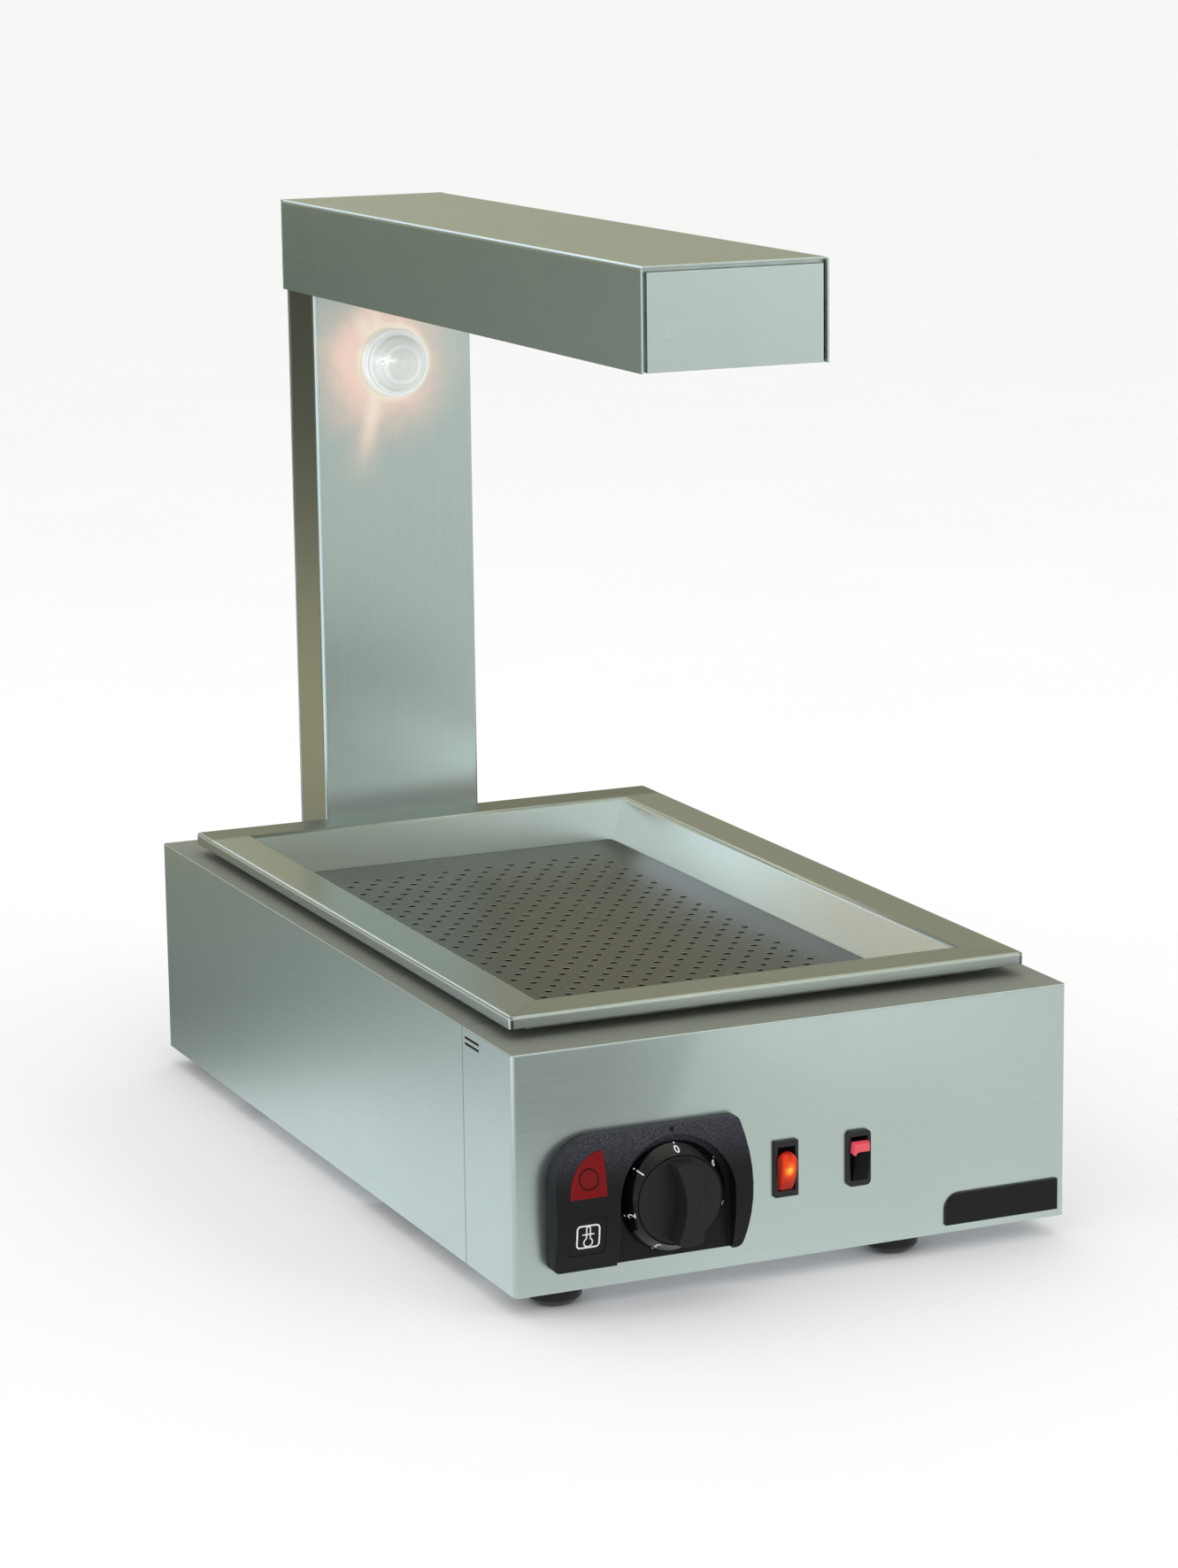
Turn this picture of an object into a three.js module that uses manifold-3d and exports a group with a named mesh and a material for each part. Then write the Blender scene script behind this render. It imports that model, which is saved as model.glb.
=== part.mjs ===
import * as THREE from "three";
import { mergeVertices } from "three/addons/utils/BufferGeometryUtils.js";
import Module from "manifold-3d";

// A heated dump station for the end of a fryer line. It has a stainless body with a lift-out pan, a
// drain plate in the pan, a heating element under it, and an arm with two ceramic emitters above.
// All lengths are millimetres. X runs to the right, Y from the front to the back, Z up.
// Pieces are laid out from the front panel's face (Y), the centre line (X) and the body's bottom (Z).

const wasm = await Module();
wasm.setup();

// Body casing
const bodyWidth = 350;
const bodyDepth = 596;
const bodyHeight = 140;
const seamDepth = 71;
const sheet = 1.2;
const fit = 0.3;
const overrun = 5;

// Dump pan and its place in the body
const panWidth = 327;
const panLength = 530;
const panDepth = 65;
const panSetback = 29.4;
const rimRise = 13.8;
const rimLip = 7.4;
const rimWidth = 29.3;
const panSideSlopeShare = 0.34;
const panEndSlopeShare = 0.1;
const linerBottom = 50;

// Drain plate
const drainDrop = 28;
const drainHole = 5;
const drainPitchX = 31.6;
const drainPitchY = 45.2;
const drainBorder = 24;

// Column and arm
const columnWidth = 112.4;
const columnDepth = 49.4;
const columnFoot = 20;
const mountGap = 4;
const armWidth = 117.4;
const armHeight = 60;
const armTop = 561;
const armSetback = 72.4;
const armLip = 8;
const lampDrop = 48;

// Feet
const footRadius = 16;
const footHeight = 12;
const footInset = 22.5;
const footLeftInset = 33;
const footRightInset = 103;

// Control knob, placed from the bezel's left edge
const knobInset = 74.5;
const knobZ = 49;
const knobRadius = 32;
const knobReach = 29.3;
const spindleRadius = 3;

// Control bezel, placed from the body's left side
const bezelInset = 19.5;
const bezelWidth = 121;
const bezelBottom = 14;
const bezelTop = 90.5;
const bezelFootDepth = 9;
const bezelMiddleDepth = 14.5;
const bezelHeadDepth = 5;
const bezelWall = 2.5;
const bezelCornerRadius = 28;
const bezelSmallRadius = 4;
const recessRadius = 35.8;
const recessFloor = 5;

// Rocker switches, placed from the bezel's right edge
const switchInset = 26.9;
const switchPitch = 46.4;
const switchZ = 53.5;
const switchWidth = 15;
const switchHeight = 33;
const rockerTilt = THREE.MathUtils.degToRad(10);

// Counts of facets and copies
const roundSegments = 20;
const smallSegments = 10;
const arcSegments = 8;

// Levels and edges that several pieces share
const deckTop = bodyHeight;
const rimTop = deckTop + rimRise;
const rimUnder = rimTop - sheet;
const bodyHalf = bodyWidth / 2;
const innerHalf = bodyHalf - sheet;
const footLeft = footLeftInset - bodyHalf;
const footRight = bodyHalf - footRightInset;
const bezelLeft = bezelInset - bodyHalf;
const bezelRight = bezelLeft + bezelWidth;
const knobX = bezelLeft + knobInset;
const switchX = [bezelRight + switchInset, bezelRight + switchInset + switchPitch];
const panFront = panSetback;
const panRear = panSetback + panLength;
const mouthHalf = panWidth / 2 - rimWidth;
const mouthFront = panFront + rimWidth;
const mouthRear = panRear - rimWidth;
const linerGap = 1.8;
const linerWall = 1;
const linerHalf = mouthHalf + sheet + linerGap;
const linerFront = mouthFront - sheet - linerGap;
const linerRear = mouthRear + sheet + linerGap;
const columnFront = bodyDepth + mountGap;
const columnRear = columnFront + columnDepth;
const armBottom = armTop - armHeight;
const armRear = columnRear + fit + sheet;
const lampZ = armBottom - lampDrop;

// Materials
function finish(color, roughness, metalness) {
  return new THREE.MeshStandardMaterial({ color, roughness, metalness });
}

const brushedSteel = finish(0xaab2aa, 0.34, 1);
const panSteel = finish(0x9aa096, 0.38, 1);
const galvanised = finish(0x8d9396, 0.5, 1);
const zincPlate = finish(0xb9bcc0, 0.35, 1);
const blackPlastic = finish(0x1d1e20, 0.6, 0);
const glossBlack = finish(0x0c0c0e, 0.2, 0);
const blackRubber = finish(0x191a1b, 0.85, 0);
const redLens = finish(0x8f1a1a, 0.3, 0);
const amberLens = finish(0xff6a1c, 0.3, 0);
const clearGlass = finish(0xf2f0ea, 0.08, 0);
const whiteCeramic = finish(0xe9e6dc, 0.45, 0);
const elementSheath = finish(0x4e4a45, 0.55, 1);
const brass = finish(0xb79b55, 0.35, 1);

// A closed geometry as a solid that can be joined and cut
function solid(geometry) {
  const bare = geometry.clone();
  bare.deleteAttribute("normal");
  bare.deleteAttribute("uv");
  const merged = mergeVertices(bare);
  return new wasm.Manifold(new wasm.Mesh({
    numProp: 3,
    vertProperties: Float32Array.from(merged.attributes.position.array),
    triVerts: Uint32Array.from(merged.index.array),
  }));
}

function geometryOf(body) {
  const mesh = body.getMesh();
  const geometry = new THREE.BufferGeometry();
  geometry.setAttribute("position", new THREE.BufferAttribute(mesh.vertProperties, 3));
  geometry.setIndex(new THREE.BufferAttribute(mesh.triVerts, 1));
  return geometry;
}

// Box between two values on each axis
function block([x0, x1], [y0, y1], [z0, z1]) {
  const geometry = new THREE.BoxGeometry(x1 - x0, y1 - y0, z1 - z0);
  geometry.translate((x0 + x1) / 2, (y0 + y1) / 2, (z0 + z1) / 2);
  return solid(geometry);
}

// Six-sided body between a rectangle at the bottom and one at the top
function tub(bottom, top, z0, z1) {
  const ring = ([x0, x1], [y0, y1], z) => [[x0, y0, z], [x1, y0, z], [x1, y1, z], [x0, y1, z]];
  const corners = [...ring(...bottom, z0), ...ring(...top, z1)];
  const quads = [[0, 3, 2, 1], [4, 5, 6, 7], [0, 1, 5, 4], [1, 2, 6, 5], [2, 3, 7, 6], [3, 0, 4, 7]];
  const geometry = new THREE.BufferGeometry();
  geometry.setAttribute("position", new THREE.Float32BufferAttribute(corners.flat(), 3));
  geometry.setIndex(quads.flatMap(([a, b, c, d]) => [a, b, c, a, c, d]));
  return solid(geometry);
}

function extruded(shape, depth, segments) {
  return new THREE.ExtrudeGeometry(shape, { depth, bevelEnabled: false, curveSegments: segments });
}

// Outline drawn in X and Z, pushed along Y
function alongY(shape, y0, y1, segments = arcSegments) {
  const geometry = extruded(shape, y1 - y0, segments);
  geometry.rotateX(Math.PI / 2);
  geometry.translate(0, y1, 0);
  return solid(geometry);
}

// Outline drawn in Y and Z, pushed along X
function alongX(shape, x0, x1, segments = arcSegments) {
  const geometry = extruded(shape, x1 - x0, segments);
  const turn = new THREE.Matrix4().makeBasis(
    new THREE.Vector3(0, 1, 0),
    new THREE.Vector3(0, 0, 1),
    new THREE.Vector3(1, 0, 0),
  );
  geometry.applyMatrix4(turn);
  geometry.translate(x0, 0, 0);
  return solid(geometry);
}

// Outline from a list of corners
function outline(corners) {
  return new THREE.Shape(corners.map(([u, v]) => new THREE.Vector2(u, v)));
}

// Profile of radius and height turned round Y, given in either direction
function turnedY(profile, segments = roundSegments) {
  const ringed = profile[0][0] > 0;
  const points = ringed ? [...profile, profile[0]] : profile;
  const area = points.reduce((sum, [r, h], i) => {
    const [nextR, nextH] = points[(i + 1) % points.length];
    return sum + r * nextH - nextR * h;
  }, 0);
  const ordered = area > 0 ? points : [...points].reverse();
  return solid(new THREE.LatheGeometry(ordered.map(([r, h]) => new THREE.Vector2(r, h)), segments));
}

// The same profile turned round Z
function turnedZ(profile, segments = roundSegments) {
  const body = turnedY(profile, segments);
  return body.rotate([90, 0, 0]);
}

// Plain round bar along Y or Z, from one height to another
function roundY(radius, h0, h1, segments = smallSegments) {
  return turnedY([[0, h0], [radius, h0], [radius, h1], [0, h1]], segments);
}

function roundZ(radius, h0, h1, segments = smallSegments) {
  return turnedZ([[0, h0], [radius, h0], [radius, h1], [0, h1]], segments);
}

// Rectangle in the outline plane with one radius at all four corners
function roundedRect(x0, x1, z0, z1, radius) {
  const shape = new THREE.Shape();
  shape.moveTo(x0 + radius, z0);
  shape.lineTo(x1 - radius, z0);
  shape.absarc(x1 - radius, z0 + radius, radius, -Math.PI / 2, 0, false);
  shape.lineTo(x1, z1 - radius);
  shape.absarc(x1 - radius, z1 - radius, radius, 0, Math.PI / 2, false);
  shape.lineTo(x0 + radius, z1);
  shape.absarc(x0 + radius, z1 - radius, radius, Math.PI / 2, Math.PI, false);
  shape.lineTo(x0, z0 + radius);
  shape.absarc(x0 + radius, z0 + radius, radius, Math.PI, Math.PI * 1.5, false);
  return shape;
}

const station = new THREE.Group();

function add(name, body, material, place = [0, 0, 0]) {
  const mesh = new THREE.Mesh(geometryOf(body), material);
  mesh.name = name;
  mesh.position.set(...place);
  station.add(mesh);
  return mesh;
}

// Four bolts hold the column to the body's rear wall
const boltRadius = 3;
const boltSpreadX = 36;
const boltLow = 45;
const boltHigh = 110;
const boltHoleGap = 0.4;
const boltPlaces = [-boltSpreadX, boltSpreadX].flatMap((x) => [[x, boltLow], [x, boltHigh]]);

function boltHoles(y0, y1) {
  const bar = roundY(boltRadius + boltHoleGap, y0, y1);
  return wasm.Manifold.union(boltPlaces.map(([x, z]) => bar.translate([x, 0, z])));
}

// Bottom tray with upturned edges; the feet are screwed to it
const footPlaces = [footLeft, footRight].flatMap((x) => [[x, footInset], [x, bodyDepth - footInset]]);
const footScrewRadius = 2.4;
const footScrewGap = 0.4;

function baseTray() {
  const lip = 15;
  const ventLength = 90;
  const ventWidth = 5;
  const ventPitch = 34;
  const ventRows = 5;
  const half = innerHalf - fit;
  const front = sheet + fit;
  const rear = bodyDepth - sheet - fit;
  let tray = block([-half, half], [front, rear], [0, lip]);
  tray = tray.subtract(block(
    [-half + sheet, half - sheet], [front + sheet, rear - sheet], [sheet, lip + overrun]));
  for (const [x, y] of footPlaces) {
    tray = tray.subtract(roundZ(footScrewRadius + footScrewGap, -overrun, overrun).translate([x, y, 0]));
  }
  for (let row = 0; row < ventRows; row += 1) {
    const y = bodyDepth / 2 + (row - (ventRows - 1) / 2) * ventPitch;
    tray = tray.subtract(block(
      [-ventLength / 2, ventLength / 2], [y - ventWidth / 2, y + ventWidth / 2], [-overrun, overrun]));
  }
  return tray;
}

// Deck opening that the liner stands in
const deckHole = {
  half: linerHalf + linerWall + fit,
  front: linerFront - linerWall - fit,
  rear: linerRear + linerWall + fit,
};

// Cable gland in the rear wall, placed from the left side
const glandInset = 47;
const glandX = glandInset - bodyHalf;
const glandZ = 34;
const glandThread = 8;

// Left, right and rear walls with the deck, folded from one sheet
function casingShell() {
  const outer = block([-bodyHalf, bodyHalf], [seamDepth, bodyDepth], [0, bodyHeight]);
  const hollow = block(
    [-innerHalf, innerHalf], [seamDepth - overrun, bodyDepth - sheet], [-overrun, bodyHeight - sheet]);
  const mouth = block(
    [-deckHole.half, deckHole.half], [seamDepth - overrun, deckHole.rear], [linerBottom, deckTop + overrun]);
  const wall = [bodyDepth - overrun, bodyDepth + overrun];
  return outer.subtract(hollow).subtract(mouth).subtract(boltHoles(...wall))
    .subtract(roundY(glandThread + fit, ...wall, roundSegments).translate([glandX, 0, glandZ]));
}

// Signal lens in the bezel and the pilot lamp behind it
const lensInset = 8.5;
const lensDrop = 8.5;
const lensWidth = 22.4;
const lensHeight = 25;
const lensLeft = bezelLeft + lensInset;
const lensRight = lensLeft + lensWidth;
const lensTop = bezelTop - lensDrop;
const lensBottom = lensTop - lensHeight;
const pilotInset = 12;
const pilotRise = 10.5;
const pilotX = lensLeft + pilotInset;
const pilotZ = lensBottom + pilotRise;
const pilotRadius = 5;

// Front panel with side returns, front strip of the deck, switch cut-outs and louvres
const switchCutWidth = 13.6;
const switchCutHeight = 30.6;
const bushRadius = 4.8;

function frontPanel() {
  const louvreWidth = 1.7;
  const louvrePitch = 3.5;
  const louvreLow = bodyHeight - 2.8 * louvrePitch;
  const louvreRear = seamDepth - 2 * louvreWidth;
  const louvreFront = louvreRear - 6 * louvrePitch;
  const outer = block([-bodyHalf, bodyHalf], [0, seamDepth - fit], [0, bodyHeight]);
  const hollow = block(
    [-innerHalf, innerHalf], [sheet, seamDepth + overrun], [-overrun, bodyHeight - sheet]);
  const mouth = block(
    [-deckHole.half, deckHole.half], [deckHole.front, seamDepth + overrun],
    [linerBottom, deckTop + overrun]);
  let panel = outer.subtract(hollow).subtract(mouth);
  for (const x of switchX) {
    panel = panel.subtract(block(
      [x - switchCutWidth / 2, x + switchCutWidth / 2], [-overrun, overrun],
      [switchZ - switchCutHeight / 2, switchZ + switchCutHeight / 2]));
  }
  for (const z of [louvreLow, louvreLow + louvrePitch]) {
    panel = panel.subtract(block(
      [-bodyWidth, bodyWidth], [louvreFront, louvreRear], [z, z + louvreWidth]));
  }
  panel = panel.subtract(roundY(bushRadius + fit, -overrun, overrun).translate([knobX, 0, knobZ]));
  return panel.subtract(roundY(pilotRadius + fit, -overrun, overrun).translate([pilotX, 0, pilotZ]));
}

// Base heating element: a tube with four runs under the pan
const elementRadius = 4;
const elementLevel = 74;
const elementRun = 30;
const elementTerminal = 14;

// Path that is sampled exactly at the stations it is given
class StationPath extends THREE.Curve {
  constructor(stations) {
    super();
    this.stations = stations;
  }

  getPoint(share, target = new THREE.Vector3()) {
    const last = this.stations.length - 1;
    const place = Math.min(Math.max(share, 0), 1) * last;
    const index = Math.min(Math.floor(place), last - 1);
    return target.lerpVectors(this.stations[index], this.stations[index + 1], place - index);
  }

  getPointAt(share, target) {
    return this.getPoint(share, target);
  }

  getTangentAt(share, target = new THREE.Vector3()) {
    const last = this.stations.length - 1;
    const index = Math.round(share * last);
    const before = this.stations[Math.max(index - 1, 0)];
    const after = this.stations[Math.min(index + 1, last)];
    return target.subVectors(after, before).normalize();
  }
}

function elementStations() {
  const front = linerFront - elementTerminal;
  const nearTurn = linerFront + rimWidth + elementRun;
  const farTurn = linerRear - rimWidth - elementRun;
  const steps = arcSegments;
  const stations = [];
  const runs = [-1.5, -0.5, 0.5, 1.5].map((place) => place * 2 * elementRun);
  const at = (x, y) => new THREE.Vector3(x, y, elementLevel);
  const bend = (x, y, side) => {
    for (let i = 0; i <= steps; i += 1) {
      const angle = Math.PI * (1 - i / steps);
      stations.push(at(x + elementRun * Math.cos(angle), y + side * elementRun * Math.sin(angle)));
    }
  };
  stations.push(at(runs[0], front));
  bend((runs[0] + runs[1]) / 2, farTurn, 1);
  bend((runs[1] + runs[2]) / 2, nearTurn, -1);
  bend((runs[2] + runs[3]) / 2, farTurn, 1);
  stations.push(at(runs[3], front));
  return stations;
}

function baseElement() {
  const sides = 8;
  const stations = elementStations();
  const ring = new THREE.Shape();
  ring.absarc(0, 0, elementRadius, 0, Math.PI * 2, false);
  const geometry = new THREE.ExtrudeGeometry(ring, {
    steps: stations.length - 1,
    curveSegments: sides,
    extrudePath: new StationPath(stations),
    bevelEnabled: false,
  });
  return solid(geometry);
}

// Bracket under the runs, standing on the liner's floor
function elementBracket() {
  const strip = 14;
  const thick = 2;
  const half = 2 * elementRun + strip;
  const top = elementLevel - elementRadius - fit;
  const floor = linerBottom + linerWall + fit;
  return block([-half, half], [-strip / 2, strip / 2], [floor, top]).subtract(
    block([-half + thick, half - thick], [-strip, strip], [floor - overrun, top - thick]));
}

// Well liner: the box that the pan hangs in, with a flange on the deck
function wellLiner() {
  const flange = 8;
  const half = linerHalf + linerWall;
  const front = linerFront - linerWall;
  const rear = linerRear + linerWall;
  const top = rimUnder - fit;
  const flangeZ = [deckTop + fit, deckTop + fit + linerWall];
  let liner = block([-half, half], [front, rear], [linerBottom, top]);
  liner = liner.add(block([-half - flange, half + flange], [front - flange, rear + flange], flangeZ));
  liner = liner.subtract(block(
    [-linerHalf, linerHalf], [linerFront, linerRear], [linerBottom + linerWall, top + overrun]));
  const elementHole = roundY(elementRadius + fit * 2, front - overrun, front + overrun, roundSegments);
  for (const side of [-1, 1]) {
    liner = liner.subtract(elementHole.translate([side * elementRun * 3, 0, elementLevel]));
  }
  return liner;
}

// Rectangle of the pan's inside at a depth below the rim top, grown outwards by a margin
function panInside(depth, margin = 0) {
  const half = mouthHalf - panSideSlopeShare * depth + margin;
  const slope = panEndSlopeShare * depth;
  return [[-half, half], [mouthFront + slope - margin, mouthRear - slope + margin]];
}

// Dump pan: hollow rim with a turned-down lip, and a tub with sloped walls
function dumpPan() {
  const half = panWidth / 2;
  const floorDepth = panDepth - sheet;
  const rim = block([-half, half], [panFront, panRear], [rimTop - rimLip, rimTop]);
  const rimHollow = block(
    [-half + sheet, half - sheet], [panFront + sheet, panRear - sheet],
    [rimTop - rimLip - overrun, rimUnder]);
  const outer = tub(panInside(panDepth, sheet), panInside(0, sheet), rimTop - panDepth, rimTop);
  const inner = tub(panInside(floorDepth), panInside(-overrun), rimTop - floorDepth, rimTop + overrun);
  return rim.subtract(rimHollow).add(outer).subtract(inner);
}

// Drain plate: perforated sheet on two folded legs
const drainTop = rimTop - drainDrop;
const drainGap = 1;

function drainPlate() {
  const [[, half], [front, rear]] = panInside(drainDrop + sheet);
  const legHalf = panInside(panDepth)[0][1] - 2 * drainGap;
  const floor = rimTop - panDepth + sheet + fit;
  const legInset = 3;
  const y0 = front + drainGap;
  const y1 = rear - drainGap;
  const leg = [floor, drainTop - sheet / 2];
  const edge = panInside(panDepth)[1];
  let plate = block([-half + drainGap, half - drainGap], [y0, y1], [drainTop - sheet, drainTop]);
  plate = plate.add(block([-legHalf, legHalf], [edge[0] + legInset, edge[0] + legInset + sheet], leg));
  plate = plate.add(block([-legHalf, legHalf], [edge[1] - legInset - sheet, edge[1] - legInset], leg));
  const hole = roundZ(drainHole / 2, drainTop - overrun, drainTop + overrun, 6);
  const reach = half - drainBorder;
  const rows = Math.floor((y1 - y0 - 2 * drainBorder) / (drainPitchY / 2));
  const firstRow = (y0 + y1) / 2 - rows * drainPitchY / 4;
  const holes = [];
  for (let row = 0; row <= rows; row += 1) {
    const shift = row % 2 === 0 ? 0 : drainPitchX / 2;
    const start = shift - Math.floor((reach + shift) / drainPitchX) * drainPitchX;
    for (let x = start; x <= reach; x += drainPitchX) {
      holes.push(hole.translate([x, firstRow + row * drainPitchY / 2, 0]));
    }
  }
  return plate.subtract(wasm.Manifold.union(holes));
}

// Rubber foot, hollowed from below for the head of its screw
const footRecess = 6;
const footScrewHead = 4.5;

function foot() {
  const chamfer = 3;
  const recessWall = footScrewHead + 1.5 * footScrewGap;
  const hole = footScrewRadius + footScrewGap;
  return turnedZ([
    [hole, -footHeight + footRecess],
    [recessWall, -footHeight + footRecess],
    [recessWall, -footHeight],
    [footRadius - 1.5 * chamfer, -footHeight],
    [footRadius - chamfer / 2, -footHeight + chamfer],
    [footRadius, -footHeight / 3],
    [footRadius, -fit],
    [hole, -fit],
  ]);
}

function footScrew() {
  const headHeight = 3;
  const tip = 8;
  const seat = -footHeight + footRecess - fit;
  return turnedZ([
    [0, seat - headHeight],
    [footScrewHead * 0.8, seat - headHeight],
    [footScrewHead, seat - headHeight / 2],
    [footScrewHead, seat],
    [footScrewRadius, seat],
    [footScrewRadius, tip],
    [0, tip],
  ], smallSegments);
}

// Column: a channel open at the back, its edges turned in to carry the rear cover
const columnReturn = 12;
const coverLip = sheet + fit;
const lampNeck = 16.5;
const coverScrewInset = 7;
const coverScrewRadius = 1.8;

function columnScrewPlaces() {
  const x = columnWidth / 2 - coverScrewInset;
  const low = columnFoot + 2 * coverScrewInset;
  const high = armBottom - 2 * coverScrewInset;
  return [-x, x].flatMap((side) => [[side, low], [side, high]]);
}

function columnScrewHoles(y0, y1) {
  const bar = roundY(coverScrewRadius + fit, y0, y1);
  return wasm.Manifold.union(columnScrewPlaces().map(([x, z]) => bar.translate([x, 0, z])));
}

function columnChannel() {
  const half = columnWidth / 2;
  const rear = columnRear - coverLip;
  const heights = [columnFoot, armTop - sheet - fit];
  const cutHeights = [columnFoot - overrun, armTop];
  const outer = block([-half, half], [columnFront, rear], heights);
  const hollow = block([-half + sheet, half - sheet], [columnFront + sheet, rear - sheet], cutHeights);
  const slotHalf = half - columnReturn;
  const slot = block([-slotHalf, slotHalf], [rear - overrun, rear + overrun], cutHeights);
  return outer.subtract(hollow).subtract(slot)
    .subtract(boltHoles(columnFront - overrun, columnFront + overrun))
    .subtract(columnScrewHoles(rear - overrun, rear + overrun))
    .subtract(roundY(lampNeck + fit, columnFront - overrun, columnFront + overrun, roundSegments)
      .translate([0, 0, lampZ]));
}

function columnCover() {
  const half = columnWidth / 2;
  return block([-half, half], [columnRear - sheet, columnRear], [columnFoot, armBottom - fit])
    .subtract(columnScrewHoles(columnRear - overrun, columnRear + overrun));
}

function columnMountPlate() {
  const half = 50;
  const margin = 14;
  return block(
    [-half, half], [bodyDepth + fit, columnFront - fit], [boltLow - margin, boltHigh + margin],
  ).subtract(boltHoles(bodyDepth - overrun, columnFront + overrun));
}

function columnBolt() {
  const head = 5;
  const headRadius = 5.6;
  const grip = 14;
  const seat = columnFront + sheet + fit;
  return roundY(headRadius, seat, seat + head, 6).add(roundY(boltRadius, seat - grip, seat + head / 2));
}

function coverScrew() {
  const head = 1;
  const headRadius = 3.6;
  const length = 8;
  const seat = columnRear + fit;
  return turnedY([
    [0, seat - length],
    [coverScrewRadius, seat - length],
    [coverScrewRadius, seat],
    [headRadius, seat],
    [headRadius * 0.8, seat + head],
    [0, seat + head],
  ], smallSegments);
}

// Arm: a channel open below, with lips that carry the guard
const armInnerHalf = armWidth / 2 - sheet;

function armChannel() {
  const half = armWidth / 2;
  const rear = armRear - sheet - fit;
  const length = [armSetback, rear];
  const outer = block([-half, half], length, [armBottom, armTop]);
  const hollow = block(
    [-armInnerHalf, armInnerHalf], [armSetback - overrun, rear + overrun],
    [armBottom + sheet, armTop - sheet]);
  const mouth = block(
    [-armInnerHalf + armLip, armInnerHalf - armLip], [armSetback - overrun, rear + overrun],
    [armBottom - overrun, armBottom + 2 * sheet]);
  const front = block(
    [-armInnerHalf, armInnerHalf], [armSetback - overrun, armSetback + armLip],
    [armBottom - overrun, armBottom + 2 * sheet]);
  const back = block(
    [-armInnerHalf, armInnerHalf], [columnFront - fit, rear + overrun],
    [armBottom - overrun, armBottom + 2 * sheet]);
  return outer.subtract(hollow).subtract(mouth).subtract(front).subtract(back);
}

// End cap: a pan-shaped plate whose face stands inside a groove round the arm's mouth
const capGroove = 2.2;
const capGrooveDepth = 4;
const capDepth = 16;

function armEndCap() {
  const half = armInnerHalf - fit;
  const bottom = armBottom + fit;
  const top = armTop - sheet - fit;
  const face = armSetback;
  const step = face + capGrooveDepth;
  let cap = block([-half, half], [step, face + capDepth], [armBottom + sheet + fit, top]);
  cap = cap.subtract(block(
    [-half + sheet, half - sheet], [step + sheet, face + capDepth + overrun],
    [armBottom + 2 * sheet + fit, top - sheet]));
  const front = block(
    [-half + capGroove, half - capGroove], [face, step + sheet], [bottom, top - capGroove]);
  const hollow = block(
    [-half + capGroove + sheet, half - capGroove - sheet], [face + sheet, step + overrun],
    [bottom + sheet, top - capGroove - sheet]);
  return cap.add(front).subtract(hollow);
}

function armRearCap() {
  const half = armWidth / 2;
  return block([-half, half], [armRear - sheet, armRear], [armBottom, armTop]);
}

// Reflector trough above the emitters, fixed to the arm's side walls
const guardRod = 1.5;
const guardLevel = armBottom + sheet + fit + guardRod;
const troughFlange = guardLevel + guardRod + fit;
const troughRoom = 20;
const troughTop = armTop - troughRoom;
const troughHalf = 32;
const troughSkirt = 48;
const troughSheet = 1;
const emitterWidth = 60;
const emitterGap = 8;
const emitterMargin = 6.5;
const neckHalfX = 9;
const neckHalfY = 20;

const troughFront = armSetback + capDepth + fit;
const troughRear = columnFront - fit;
const emitterLength = (troughRear - troughFront - emitterGap) / 2 - emitterMargin;
const emitterPlaces = [-1, 1].map((side) =>
  (troughFront + troughRear) / 2 + side * (emitterLength + emitterGap) / 2);

function heatReflector() {
  const half = armInnerHalf - fit;
  const rise = 2 * troughSheet;
  const line = [
    [-half, troughFlange], [-troughSkirt, troughFlange], [-troughHalf, troughTop],
    [troughHalf, troughTop], [troughSkirt, troughFlange], [half, troughFlange],
  ];
  const upper = [...line].reverse().map(([x, z]) => [x, z + rise]);
  let trough = alongY(outline([...line, ...upper]), troughFront, troughRear);
  for (const y of emitterPlaces) {
    trough = trough.subtract(block(
      [-neckHalfX - fit, neckHalfX + fit], [y - neckHalfY - fit, y + neckHalfY + fit],
      [troughTop - overrun, troughTop + overrun]));
  }
  return trough;
}

// Ceramic emitter: a hollow-faced trough with a neck that goes up through the reflector
const clipThick = 2.5;

function ceramicEmitter() {
  const thick = 14;
  const bodyTop = troughTop - thick;
  const faceLevel = bodyTop - thick;
  const dish = 3;
  const half = emitterWidth / 2;
  const length = emitterLength / 2;
  const shape = new THREE.Shape();
  shape.moveTo(-half, faceLevel);
  shape.quadraticCurveTo(0, faceLevel + 2 * dish, half, faceLevel);
  shape.lineTo(half, bodyTop - dish);
  shape.quadraticCurveTo(0, bodyTop + dish, -half, bodyTop - dish);
  const body = alongY(shape, -length, length);
  const neckTop = troughTop + 2 * troughSheet + fit + 2 * clipThick;
  return body.add(block([-neckHalfX, neckHalfX], [-neckHalfY, neckHalfY], [bodyTop - 2 * dish, neckTop]));
}

function emitterClip() {
  const margin = 9;
  const z0 = troughTop + 2 * troughSheet + fit;
  const outer = block(
    [-neckHalfX - margin, neckHalfX + margin], [-neckHalfY - margin, neckHalfY + margin],
    [z0, z0 + clipThick]);
  return outer.subtract(block(
    [-neckHalfX - fit, neckHalfX + fit], [-neckHalfY - fit, neckHalfY + fit],
    [z0 - overrun, z0 + overrun]));
}

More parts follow.
